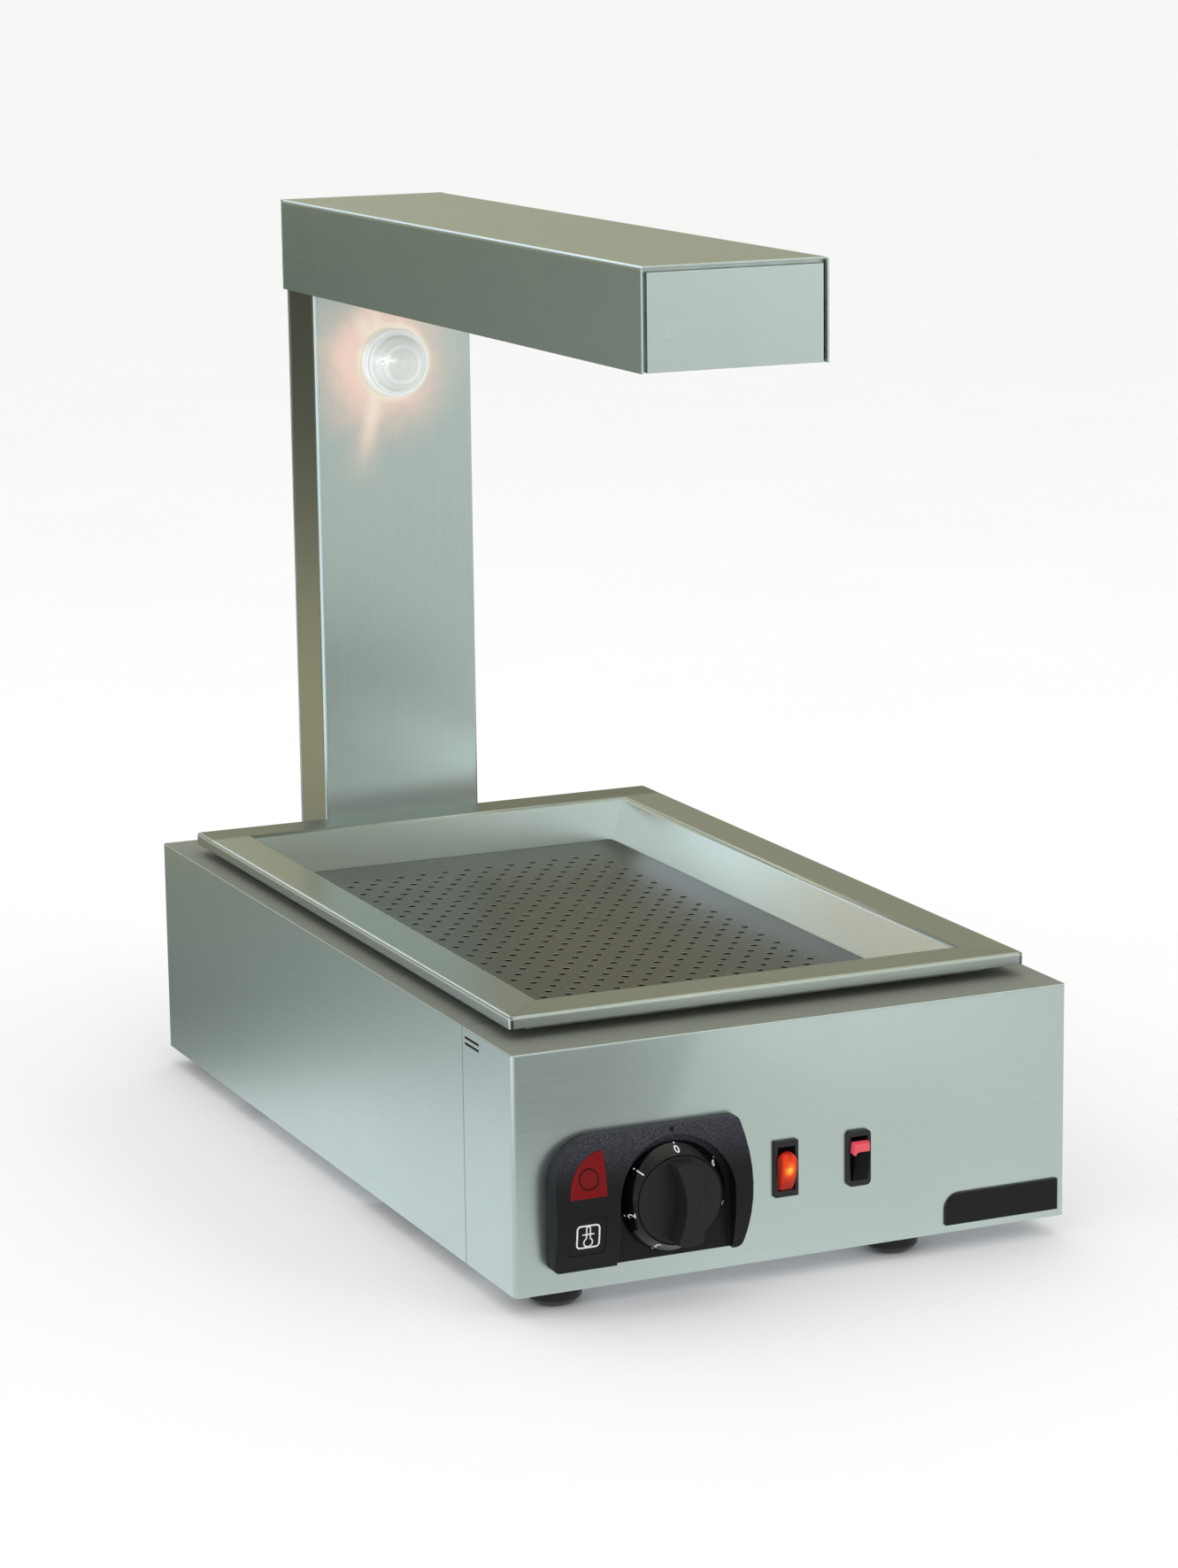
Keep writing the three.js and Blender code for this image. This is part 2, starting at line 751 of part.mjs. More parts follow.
// Wire guard under the emitters, resting on the arm's lips
function guardGrille() {
  const crossRods = 11;
  const reach = armInnerHalf - armLip / 2;
  const railHalf = reach - armLip;
  const y0 = troughFront + armLip;
  const y1 = troughRear - armLip;
  const sides = 6;
  const cross = roundZ(guardRod, -reach, reach, sides).rotate([0, 90, 0]);
  const rods = [];
  for (let i = 0; i < crossRods; i += 1) {
    rods.push(cross.translate([0, y0 + (y1 - y0) * i / (crossRods - 1), guardLevel]));
  }
  for (const x of [-railHalf / 2, railHalf / 2]) {
    rods.push(roundY(guardRod, y0 - armLip / 2, y1 + armLip / 2, sides).translate([x, 0, guardLevel]));
  }
  return wasm.Manifold.union(rods);
}

// Oven lamp in the column: holder inside, bulb, and a glass cover on the front face
const lampRadius = 23;
const holderReach = 4;

function lampGlass() {
  const back = columnFront - fit;
  const wall = 2.5;
  const dome = 20;
  const skirt = 6;
  const steps = 6;
  const bore = lampNeck + fit;
  const bulge = (radius, rise) => Array.from({ length: steps + 1 }, (_, i) => {
    const angle = (Math.PI / 2) * (i / steps);
    return [radius * Math.cos(angle), back - skirt - rise * Math.sin(angle)];
  });
  const outer = turnedY([[0, back], [lampRadius, back], ...bulge(lampRadius, dome - skirt)]);
  const mouth = back + overrun;
  const hollow = turnedY([[0, mouth], [bore, mouth], ...bulge(bore, dome - skirt - wall)]);
  return outer.subtract(hollow);
}

function lampHolder() {
  const flange = columnFront + sheet + fit;
  const flangeThick = 2.5;
  const flangeRadius = 22;
  const depth = 28;
  const bore = 8.5;
  const neckFront = columnFront - holderReach;
  const shell = 12;
  return turnedY([
    [bore, neckFront],
    [lampNeck, neckFront],
    [lampNeck, flange],
    [flangeRadius, flange],
    [flangeRadius, flange + flangeThick],
    [shell, flange + flangeThick],
    [shell, flange + depth],
    [0, flange + depth],
    [0, flange + depth - flangeThick],
    [bore, flange + depth - flangeThick],
  ].reverse());
}

function lampBulb() {
  const capRadius = 8;
  const capLength = 20;
  const bulbRadius = 10;
  const bulbReach = 15.5;
  const capBack = columnFront + sheet + fit + capLength;
  const neckFront = columnFront - holderReach - fit;
  const bulbTip = columnFront - bulbReach;
  const middle = (neckFront + bulbTip) / 2;
  return turnedY([
    [0, bulbTip],
    [bulbRadius * 0.7, (bulbTip + middle) / 2],
    [bulbRadius, middle],
    [bulbRadius, neckFront - 1.5 * fit],
    [capRadius, neckFront],
    [capRadius, capBack],
    [0, capBack],
  ], smallSegments);
}

// Side section of the bezel: its front bulges most at half height
function bezelSection(offset) {
  const middle = 2 * bezelMiddleDepth - (bezelFootDepth + bezelHeadDepth) / 2;
  const shape = new THREE.Shape();
  shape.moveTo(overrun, bezelBottom);
  shape.lineTo(-bezelFootDepth - offset, bezelBottom);
  shape.quadraticCurveTo(
    -middle - offset, (bezelBottom + bezelTop) / 2, -bezelHeadDepth - offset, bezelTop);
  shape.lineTo(overrun, bezelTop);
  return alongX(shape, bezelLeft - overrun, bezelRight + overrun);
}

// Front outline of the bezel: big radius at the top left, bowed right edge
function bezelOutline(inset) {
  const corner = bezelSmallRadius - inset;
  const bow = 5;
  const left = bezelLeft + inset;
  const right = bezelRight - bow - inset;
  const bottom = bezelBottom + inset;
  const top = bezelTop - inset;
  const big = bezelCornerRadius - inset;
  const shape = new THREE.Shape();
  shape.moveTo(left + corner, bottom);
  shape.lineTo(right - corner, bottom);
  shape.quadraticCurveTo(right, bottom, right + corner / 4, bottom + corner);
  shape.quadraticCurveTo(right + 2 * bow - corner / 4, (bottom + top) / 2, right + corner / 4, top - corner);
  shape.quadraticCurveTo(right, top, right - corner, top);
  shape.lineTo(left + big, top);
  shape.absarc(left + big, top - big, big, Math.PI / 2, Math.PI, false);
  shape.lineTo(left, bottom + corner);
  shape.absarc(left + corner, bottom + corner, corner, Math.PI, Math.PI * 1.5, false);
  return shape;
}

// Round recess for the knob, open through the bezel's bottom edge
function knobRecess(radius, y0, y1) {
  const round = roundY(radius, y0, y1, 2 * roundSegments).translate([knobX, 0, knobZ]);
  return round.add(block([knobX - radius, knobX + radius], [y0, y1], [bezelBottom - overrun, knobZ]));
}

// Quarter-round outline of the signal lens, following the bezel's big corner
function lensOutline(offset) {
  const left = lensLeft - offset;
  const right = lensRight + offset;
  const bottom = lensBottom - offset;
  const top = lensTop + offset;
  const shape = new THREE.Shape();
  shape.moveTo(left, bottom);
  shape.lineTo(right, bottom);
  shape.lineTo(right, top);
  shape.bezierCurveTo(
    right + (left - right) * 0.55, top, left, bottom + (top - bottom) * 0.55, left, bottom);
  return shape;
}

// Square plate with the temperature sign
const plateInset = 8.1;
const plateRise = 9.8;
const plateLeft = bezelLeft + plateInset;
const plateBottom = bezelBottom + plateRise;
const plateSide = 22;
const plateCorner = 2.5;

function plateOutline(offset) {
  return roundedRect(
    plateLeft - offset, plateLeft + plateSide + offset,
    plateBottom - offset, plateBottom + plateSide + offset, plateCorner);
}

const bezelDeepest = -bezelMiddleDepth - overrun;

function controlBezel() {
  const shell = alongY(bezelOutline(0), bezelDeepest, -fit).intersect(bezelSection(0));
  const hollowFront = alongY(bezelOutline(bezelWall), bezelDeepest, overrun)
    .intersect(bezelSection(-bezelWall));
  const floor = knobRecess(recessRadius + bezelWall, bezelDeepest, -recessFloor + bezelWall);
  const windows = alongY(lensOutline(fit), bezelDeepest, overrun)
    .add(alongY(plateOutline(fit), bezelDeepest, overrun));
  return shell.subtract(hollowFront.subtract(floor))
    .subtract(knobRecess(recessRadius, bezelDeepest - overrun, -recessFloor))
    .subtract(roundY(2 * spindleRadius, bezelDeepest, overrun).translate([knobX, 0, knobZ]))
    .subtract(windows);
}

function insertBody(shape, proud) {
  const back = -bezelHeadDepth;
  return alongY(shape, bezelDeepest, back).intersect(bezelSection(proud));
}

function pilotLamp() {
  const length = 24;
  const front = -bezelHeadDepth + fit;
  return roundY(pilotRadius, front, front + length, roundSegments);
}

// Energy regulator behind the panel, with its bush, nut and turning spindle
const nutThick = 1.8;

function regulatorBody() {
  const half = 20;
  const depth = 36;
  const y0 = sheet + fit;
  const socket = 12;
  const body = block([-half, half], [y0, y0 + depth], [-half, half]);
  const bush = roundY(bushRadius, -2 * fit - nutThick, y0 + overrun, roundSegments);
  const bore = roundY(spindleRadius + fit, -knobReach, y0 + socket, roundSegments);
  return body.add(bush).subtract(bore);
}

function regulatorNut() {
  const acrossCorners = 8.5;
  return roundY(acrossCorners, -fit - nutThick, -fit, 6)
    .subtract(roundY(bushRadius + fit, -overrun, overrun, roundSegments));
}

const dialGap = 0.6;
const dialBack = -recessFloor - dialGap;
const dialFront = -15.8;
const dialTopRadius = 26.3;
const discRadius = 25.3;
const discBack = -12.8;
const discFront = -16.4;
const hubRadius = 7;
const hubBack = -6.4;

function regulatorSpindle() {
  const flat = spindleRadius / 2;
  const front = discBack - fit;
  const tail = 10;
  const back = sheet + tail;
  const rod = roundY(spindleRadius, front, back, roundSegments);
  return rod.subtract(block(
    [-2 * spindleRadius, 2 * spindleRadius], [front - overrun, hubBack], [flat, 2 * spindleRadius]));
}

// Dial ring of the knob: a bevelled skirt that carries the numbers
function knobDial() {
  const rimHeight = 1.6;
  const wall = 2;
  const pocket = discBack + fit;
  return turnedY([
    [hubRadius + fit, dialBack],
    [hubRadius + fit + wall, dialBack],
    [hubRadius + fit + wall, pocket + wall],
    [dialTopRadius - wall, pocket + wall],
    [knobRadius - wall, dialBack],
    [knobRadius, dialBack],
    [knobRadius, dialBack - rimHeight],
    [dialTopRadius, dialFront],
    [discRadius + fit, dialFront],
    [discRadius + fit, pocket],
    [hubRadius + fit, pocket],
  ], 2 * roundSegments);
}

// Grip of the knob: a disc with a wing whose left flank is hollow
function knobGrip() {
  const wingHalf = 22.4;
  const wingRight = 8.6;
  const wingLeft = 7.4;
  const wingWaist = 1.6;
  const bore = spindleRadius + fit;
  const flat = spindleRadius / 2 + fit;
  const disc = roundY(discRadius, discFront, discBack, 2 * roundSegments);
  const hub = roundY(hubRadius, discBack - fit, hubBack, roundSegments);
  const shape = new THREE.Shape();
  shape.moveTo(-wingLeft, -wingHalf);
  shape.quadraticCurveTo(wingRight / 4, -wingHalf * 1.12, wingRight, -wingHalf * 0.94);
  shape.lineTo(wingRight, wingHalf * 0.94);
  shape.quadraticCurveTo(wingRight / 4, wingHalf * 1.12, -wingLeft, wingHalf);
  shape.quadraticCurveTo(-2 * wingWaist + wingLeft, 0, -wingLeft, -wingHalf);
  const blade = alongY(shape, -knobReach, discFront + fit);
  const socket = roundY(bore, discBack - 2 * fit, hubBack + overrun, roundSegments).subtract(block(
    [-2 * bore, 2 * bore], [discFront, hubBack + 2 * overrun], [flat, 2 * bore]));
  return disc.add(hub).add(blade).subtract(socket);
}

// Rocker switch: housing clipped into the panel, rocker pivoted in it
const rockerPivot = 4;
const wellHalfX = 5.6;
const wellHalfZ = 13;

function switchHousing(cornerRadius) {
  const flange = 2;
  const depth = 22;
  const wellDepth = 12;
  const halfX = switchWidth / 2;
  const halfZ = switchHeight / 2;
  const face = roundedRect(-halfX, halfX, -halfZ, halfZ, cornerRadius);
  const front = alongY(face, -flange - fit, -fit);
  const bodyHalfX = switchCutWidth / 2 - fit;
  const bodyHalfZ = switchCutHeight / 2 - fit;
  const body = block([-bodyHalfX, bodyHalfX], [-2 * fit, depth], [-bodyHalfZ, bodyHalfZ]);
  return front.add(body).subtract(block(
    [-wellHalfX, wellHalfX], [-flange - overrun, wellDepth], [-wellHalfZ, wellHalfZ]));
}

function rocker() {
  const half = wellHalfX - fit;
  const reach = 11.2;
  const endFront = 8;
  const crown = 9.6;
  const crownReach = 3;
  const endBack = 4.5;
  const heel = 4;
  return alongX(outline([
    [-endFront, reach], [-crown, crownReach], [-crown, -crownReach], [-endFront, -reach],
    [-endBack, -reach], [heel, -heel], [heel, heel], [-endBack, reach],
  ]), -half, half);
}

// Bare name plate at the panel's lower right corner
function badgePlate() {
  const inset = 5.4;
  const width = 74;
  const height = 18.6;
  const big = 10;
  const thick = 1.5;
  const right = bodyHalf - inset;
  const left = right - width;
  const bottom = 4.8;
  const top = bottom + height;
  const shape = new THREE.Shape();
  shape.moveTo(left, bottom);
  shape.lineTo(right, bottom);
  shape.lineTo(right, top);
  shape.lineTo(left + big, top);
  shape.absarc(left + big, top - big, big, Math.PI / 2, Math.PI, false);
  return alongY(shape, -fit - thick, -fit);
}

// Cable gland on the rear wall, its lock nut inside, and the terminal block on the tray
const glandBore = 4;

function cableGland() {
  const hex = 11.5;
  const hexDepth = 6;
  const domeRadius = 9.5;
  const domeDepth = 11;
  const out = bodyDepth + fit;
  const thread = 12;
  const body = roundY(hex, out, out + hexDepth, 6)
    .add(roundY(glandThread, out - thread, out + hexDepth, roundSegments))
    .add(turnedY([
      [0, out + hexDepth / 2],
      [domeRadius, out + hexDepth / 2],
      [domeRadius, out + hexDepth + domeDepth / 2],
      [glandBore + sheet, out + hexDepth + domeDepth],
      [0, out + hexDepth + domeDepth],
    ]));
  return body.subtract(roundY(glandBore, out - 2 * thread, out + 2 * domeDepth + hexDepth, roundSegments));
}

function glandNut() {
  const hex = 11.5;
  const thick = 4;
  const y1 = bodyDepth - sheet - fit;
  return roundY(hex, y1 - thick, y1, 6)
    .subtract(roundY(glandThread + fit, y1 - 2 * thick, y1 + overrun, roundSegments));
}

function terminalBlock() {
  const length = 52;
  const width = 20;
  const height = 18;
  const poles = 5;
  const screwHole = 2;
  const holeDepth = 9;
  const z0 = sheet + fit;
  let body = block([-length / 2, length / 2], [-width / 2, width / 2], [z0, z0 + height]);
  for (let pole = 0; pole < poles; pole += 1) {
    const x = (pole - (poles - 1) / 2) * length / poles;
    body = body.subtract(roundZ(screwHole, z0 + height - holeDepth, z0 + height + overrun, 8)
      .translate([x, 0, 0]));
  }
  return body;
}

// Body
add("base_tray", baseTray(), galvanised);
add("casing_shell", casingShell(), brushedSteel);
add("front_panel", frontPanel(), brushedSteel);
add("well_liner", wellLiner(), galvanised);
add("base_element", baseElement(), elementSheath);
const bracketShares = { front: 0.3, rear: 0.7 };
for (const [end, share] of Object.entries(bracketShares)) {
  const y = linerFront + (linerRear - linerFront) * share;
  add(`element_bracket_${end}`, elementBracket(), galvanised, [0, y, 0]);
}

// Feet
const footNames = ["left_front", "left_rear", "right_front", "right_rear"];
footPlaces.forEach(([x, y], index) => {
  add(`foot_${footNames[index]}`, foot(), blackRubber, [x, y, 0]);
  add(`foot_screw_${footNames[index]}`, footScrew(), zincPlate, [x, y, 0]);
});

// Pan
add("dump_pan", dumpPan(), panSteel);
add("drain_plate", drainPlate(), panSteel);

// Column
add("column_channel", columnChannel(), brushedSteel);
add("column_rear_cover", columnCover(), brushedSteel);
add("column_mount_plate", columnMountPlate(), galvanised);
boltPlaces.forEach(([x, z], index) => {
  add(`column_bolt_${index + 1}`, columnBolt(), zincPlate, [x, 0, z]);
});
columnScrewPlaces().forEach(([x, z], index) => {
  add(`cover_screw_${index + 1}`, coverScrew(), zincPlate, [x, 0, z]);
});

// Lamp
add("lamp_holder", lampHolder(), whiteCeramic, [0, 0, lampZ]);
add("lamp_bulb", lampBulb(), clearGlass, [0, 0, lampZ]);
add("lamp_glass", lampGlass(), clearGlass, [0, 0, lampZ]);

// Arm
add("arm_channel", armChannel(), brushedSteel);
add("arm_end_cap", armEndCap(), brushedSteel);
add("arm_rear_cap", armRearCap(), brushedSteel);
add("heat_reflector", heatReflector(), galvanised);
add("guard_grille", guardGrille(), zincPlate);
["front", "rear"].forEach((end, index) => {
  add(`ceramic_emitter_${end}`, ceramicEmitter(), whiteCeramic, [0, emitterPlaces[index], 0]);
  add(`emitter_clip_${end}`, emitterClip(), galvanised, [0, emitterPlaces[index], 0]);
});

// Controls
add("control_bezel", controlBezel(), blackPlastic);
add("signal_lens", insertBody(lensOutline(0), fit), redLens);
add("sign_plate", insertBody(plateOutline(0), -fit), glossBlack);
add("pilot_lamp", pilotLamp(), clearGlass, [pilotX, 0, pilotZ]);
add("regulator_body", regulatorBody(), whiteCeramic, [knobX, 0, knobZ]);
add("regulator_nut", regulatorNut(), brass, [knobX, 0, knobZ]);
add("regulator_spindle", regulatorSpindle(), zincPlate, [knobX, 0, knobZ]);
add("knob_dial", knobDial(), glossBlack, [knobX, 0, knobZ]);
add("knob_grip", knobGrip(), blackPlastic, [knobX, 0, knobZ]);

const switchCorners = [0.6, 3];
const rockerMaterials = [amberLens, blackPlastic];
["left", "right"].forEach((side, index) => {
  const place = [switchX[index], 0, switchZ];
  add(`switch_housing_${side}`, switchHousing(switchCorners[index]), glossBlack, place);
  const mesh = add(`switch_rocker_${side}`, rocker(), rockerMaterials[index],
    [place[0], rockerPivot, place[2]]);
  mesh.rotation.x = rockerTilt;
});
add("badge_plate", badgePlate(), glossBlack);

// Mains entry
add("cable_gland", cableGland(), blackPlastic, [glandX, 0, glandZ]);
add("gland_lock_nut", glandNut(), blackPlastic, [glandX, 0, glandZ]);
const blockSetback = 60;
add("terminal_block", terminalBlock(), whiteCeramic, [glandX, bodyDepth - blockSetback, 0]);

// The origin is on the surface under the feet, in the middle of the object's length and width
const object = new THREE.Group();
object.add(station);
station.position.set(0, (knobReach - armRear) / 2, footHeight);

export default object;
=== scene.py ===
from math import asin, ceil, cos, hypot, pi, radians, sin, sqrt, tau

import bmesh
import bpy
from mathutils import Matrix, Vector


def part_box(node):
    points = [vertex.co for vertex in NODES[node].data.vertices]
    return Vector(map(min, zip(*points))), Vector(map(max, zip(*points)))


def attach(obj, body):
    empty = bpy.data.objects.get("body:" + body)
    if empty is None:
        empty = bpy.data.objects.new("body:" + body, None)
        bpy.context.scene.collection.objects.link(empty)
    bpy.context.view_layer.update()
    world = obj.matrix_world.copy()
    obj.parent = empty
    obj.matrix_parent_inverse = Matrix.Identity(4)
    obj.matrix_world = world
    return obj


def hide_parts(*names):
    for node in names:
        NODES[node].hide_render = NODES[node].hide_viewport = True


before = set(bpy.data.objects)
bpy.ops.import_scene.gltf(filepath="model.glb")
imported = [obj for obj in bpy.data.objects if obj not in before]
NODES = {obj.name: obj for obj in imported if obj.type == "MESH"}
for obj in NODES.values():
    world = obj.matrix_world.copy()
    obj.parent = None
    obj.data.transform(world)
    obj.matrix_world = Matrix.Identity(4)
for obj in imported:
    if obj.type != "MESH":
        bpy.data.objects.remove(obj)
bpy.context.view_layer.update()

scene = bpy.context.scene

# The station's own axes: X from the centre line, Y back from the front panel's face, Z up from
# the body's underside. All lengths are metres.
PANEL_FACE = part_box("front_panel")[0].y
BODY_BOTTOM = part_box("casing_shell")[0].z


def at(x, y, z):
    return Vector((x, PANEL_FACE + y, BODY_BOTTOM + z))


def middle_of(name):
    low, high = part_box(name)
    return (low + high) / 2


def new_object(name, data):
    made = bpy.data.objects.new(name, data)
    scene.collection.objects.link(made)
    return made


# ---------------------------------------------------------------- camera

CAMERA_PLACE = Vector((-1.0706, -2.4400, 0.7934))
CAMERA_AZIMUTH = radians(-23.92)
CAMERA_ELEVATION = radians(11.96)
CAMERA_ROLL = radians(-0.752)
CAMERA_LENS = 100.08


def add_camera():
    back = Vector((
        sin(CAMERA_AZIMUTH) * cos(CAMERA_ELEVATION),
        -cos(CAMERA_AZIMUTH) * cos(CAMERA_ELEVATION),
        sin(CAMERA_ELEVATION),
    ))
    right = Vector((0, 0, 1)).cross(back).normalized()
    axes = Matrix((right, back.cross(right), back)).transposed().to_4x4()
    camera = new_object("camera", bpy.data.cameras.new("camera"))
    camera.data.lens = CAMERA_LENS
    camera.matrix_world = (
        Matrix.Translation(CAMERA_PLACE) @ axes @ Matrix.Rotation(CAMERA_ROLL, 4, "Z"))
    scene.camera = camera


# ---------------------------------------------------------------- node trees

class Field:
    """A node's output, changing over the surface. Arithmetic on it adds Math nodes."""

    def __init__(self, socket):
        self.socket = socket
        self.tree = socket.id_data

    def __add__(self, other):
        return maths("ADD", self, other)

    def __sub__(self, other):
        return maths("SUBTRACT", self, other)

    def __rsub__(self, other):
        return maths("SUBTRACT", other, self)

    def __mul__(self, other):
        return maths("MULTIPLY", self, other)

    def __truediv__(self, other):
        return maths("DIVIDE", self, other)

    def __abs__(self):
        return maths("ABSOLUTE", self)

    def __gt__(self, other):
        return maths("GREATER_THAN", self, other)

    def __lt__(self, other):
        return maths("LESS_THAN", self, other)


def fill(socket, value):
    """Joins a field to an input, or sets the input's own value."""
    if isinstance(value, Field):
        value.tree.links.new(value.socket, socket)
    elif socket.type == "RGBA":
        socket.default_value = (*value, 1.0)
    else:
        socket.default_value = value


def add_node(tree, kind, inputs=None, **settings):
    """Adds a node, sets its options, and fills its inputs by name or number."""
    made = tree.nodes.new(kind)
    for key, value in settings.items():
        setattr(made, key, value)
    for key, value in (inputs or {}).items():
        fill(made.inputs[key], value)
    return made


def field(tree, kind, inputs=None, output=0, **settings):
    """Adds a node and gives one of its outputs."""
    return Field(add_node(tree, kind, inputs, **settings).outputs[output])


def tree_of(*values):
    return next(value.tree for value in values if isinstance(value, Field))


def maths(operation, *values):
    return field(
        tree_of(*values), "ShaderNodeMath", dict(enumerate(values)), operation=operation)


def vector_maths(operation, a, b, output=0):
    return field(a.tree, "ShaderNodeVectorMath", {0: a, 1: b}, output, operation=operation)


def distance(a, b):
    """Length of the line whose two legs are a and b."""
    return maths("SQRT", a * a + b * b)


def largest(first, *others):
    for other in others:
        first = maths("MAXIMUM", first, other)
    return first


def span(value, low, high, to_low=0.0, to_high=1.0, smooth=True):
    """Turns a value between low and high into one between to_low and to_high."""
    return field(
        value.tree, "ShaderNodeMapRange",
        {"Value": value, "From Min": low, "From Max": high, "To Min": to_low, "To Max": to_high},
        "Result", interpolation_type="SMOOTHSTEP" if smooth else "LINEAR")


# A Mix node's sockets for each kind of value: its two inputs and its output
MIX_SOCKETS = {"FLOAT": (2, 3, 0), "VECTOR": (4, 5, 1), "RGBA": (6, 7, 2)}


def blend(share, a, b, kind="RGBA"):
    """Colour between a and b, or the number or vector between them."""
    first, second, output = MIX_SOCKETS[kind]
    return field(
        tree_of(share, a, b), "ShaderNodeMix", {0: share, first: a, second: b}, output,
        data_type=kind)


def ramp(value, stops):
    """Colour looked up along a value; stops are (value, colour) in rising order."""
    low, high = stops[0][0], stops[-1][0]
    made = add_node(value.tree, "ShaderNodeValToRGB", {0: span(value, low, high, smooth=False)})
    elements = made.color_ramp.elements
    while len(elements) < len(stops):
        elements.new(0.5)
    for element, (place, _) in zip(elements, stops):
        element.position = (place - low) / (high - low)
    for element, (_, color) in zip(elements, stops):
        element.color = (*color, 1.0)
    return Field(made.outputs[0])


def surface(tree, kind="Object"):
    """Place on the surface, or the way it faces with the kind "Normal"."""
    return field(tree, "ShaderNodeTexCoord", output=kind)


def split(vector):
    made = add_node(vector.tree, "ShaderNodeSeparateXYZ", {0: vector})
    return [Field(part) for part in made.outputs]


def noise(place, scale, **more):
    return field(place.tree, "ShaderNodeTexNoise", {"Vector": place, "Scale": scale, **more})


def bump(height, strength, distance, normal):
    return field(height.tree, "ShaderNodeBump", {
        "Height": height, "Strength": strength, "Distance": distance, "Normal": normal})


# ---------------------------------------------------------------- shared effects

def shader_group(name, inputs, build):
    """Node group with named inputs and their values; build returns its named outputs."""
    tree = bpy.data.node_groups.new(name, "ShaderNodeTree")
    for label, value in inputs.items():
        kind = "NodeSocketVector" if isinstance(value, tuple) else "NodeSocketFloat"
        tree.interface.new_socket(label, in_out="INPUT", socket_type=kind).default_value = value
    source = add_node(tree, "NodeGroupInput")
    results = build(tree, *(Field(source.outputs[label]) for label in inputs))
    for label, value in results.items():
        kind = "NodeSocketVector" if value.socket.type == "VECTOR" else "NodeSocketFloat"
        tree.interface.new_socket(label, in_out="OUTPUT", socket_type=kind)
    add_node(tree, "NodeGroupOutput", results)
    return tree


def use_group(tree, group, inputs=None):
    """Places a shader group and gives its outputs by name."""
    made = add_node(tree, "ShaderNodeGroup", inputs, node_tree=group)
    return {socket.name: Field(socket) for socket in made.outputs}


def brushed_grain(tree, wall_scale, level_scale):
    """Long fine streaks from the brush; walls and level faces have their own direction."""
    level = abs(split(surface(tree, "Normal"))[2]) > 0.75
    scale = blend(level, wall_scale, level_scale, "VECTOR")
    spot = vector_maths("MULTIPLY", surface(tree), scale)
    stagger = vector_maths("DOT_PRODUCT", spot, (0.17, 0.17, 0.17), "Value")
    height = noise(vector_maths("ADD", spot, stagger), 1.0, Detail=3.0, Roughness=0.65)
    return {"Streak": span(height, 0.32, 0.68, smooth=False), "Height": height, "Level": level}


def rounded_edge(tree, radius):
    """Normal rounded over at the edges, and a mask that is 1 along them."""
    normal = field(tree, "ShaderNodeBevel", {"Radius": radius}, samples=4)
    flat = field(tree, "ShaderNodeNewGeometry", output="Normal")
    match = vector_maths("DOT_PRODUCT", normal, flat, "Value")
    return {"Normal": normal, "Edge": span(match, 0.995, 0.86)}


def handling_marks(tree, blotch_scale, scratch_scale):
    """Soft blotches where hands and cloths have been, and thin random scratches."""
    place = surface(tree)
    blotch = noise(place, blotch_scale, Detail=4.0, Distortion=0.6)
    line = abs(noise(place, scratch_scale, Detail=1.0) - 0.5)
    sparse = span(noise(place, 24.0), 0.56, 0.66)
    return {"Smear": span(blotch, 0.35, 0.7), "Scratch": span(line, 0.004, 0.0) * sparse}


def moulded_grain(tree, scale):
    """Spark-eroded texture of moulded plastic and the light specks on it."""
    place = surface(tree)
    cells = field(tree, "ShaderNodeTexVoronoi", {"Vector": place, "Scale": scale}, "Distance")
    return {"Height": noise(place, scale, Detail=2.0), "Speck": span(cells, 0.3, 0.08)}


def corner_film(tree, reach):
    """Painted shade that darkens corners and joints by how hidden they are, broken up by noise."""
    shade = field(tree, "ShaderNodeAmbientOcclusion", {"Distance": reach}, "AO", samples=4)
    broken = span(noise(surface(tree), 70.0, Detail=3.0), 0.3, 0.6, 0.5, 1.0)
    return {"Film": span(shade, 0.75, 0.25) * broken}


BRUSHED_GRAIN = shader_group(
    "Brushed grain", {"Wall Scale": (14, 14, 900), "Level Scale": (900, 14, 14)}, brushed_grain)
ROUNDED_EDGE = shader_group("Rounded edge", {"Radius": 0.001}, rounded_edge)
HANDLING_MARKS = shader_group(
    "Handling marks", {"Blotch Scale": 9.0, "Scratch Scale": 60.0}, handling_marks)
MOULDED_GRAIN = shader_group("Moulded grain", {"Scale": 1800.0}, moulded_grain)
PAINTED_CORNER_SHADE_GROUP = shader_group("Painted corner shade", {"Reach": 0.006}, corner_film)


def dress(shader, **inputs):
    """Fills a shader's inputs, whose names are given in lower case with underscores."""
    for key, value in inputs.items():
        fill(shader.inputs[key.replace("_", " ").title().replace("Ior", "IOR")], value)


def new_material(name, **uniform):
    """Material with one Principled shader; uniform values go on its own sockets."""
    material = bpy.data.materials.new(name)
    material.use_nodes = True
    shader = material.node_tree.nodes["Principled BSDF"]
    dress(shader, **uniform)
    return material, material.node_tree, shader


# ---------------------------------------------------------------- finishes

STEEL_TONE = (0.46, 0.545, 0.52)
POLISHED_TONE = (0.72, 0.79, 0.80)
PAINTED_SHADE_TONE = (0.10, 0.10, 0.085)
LEVEL_BRUSH = (1500, 18, 18)
# Part of a normal along an axis above which a face counts as square to it
SQUARE_ON = 0.9
RIM_WIDTH = 0.0293
KNOB_X = -0.081
PANEL_RETURN = 0.071
# Streaks of lamp light on the column, from the lamp's middle: start, stop and width
GLOW_BEAMS = [
    ((-0.012, -0.018), (-0.029, -0.090), 0.0115),
    ((-0.014, 0.014), (-0.034, 0.046), 0.0105),
    ((-0.008, 0.018), (-0.018, 0.046), 0.0105),
]


def scaled(tone, factor):
    return tuple(factor * part for part in tone)


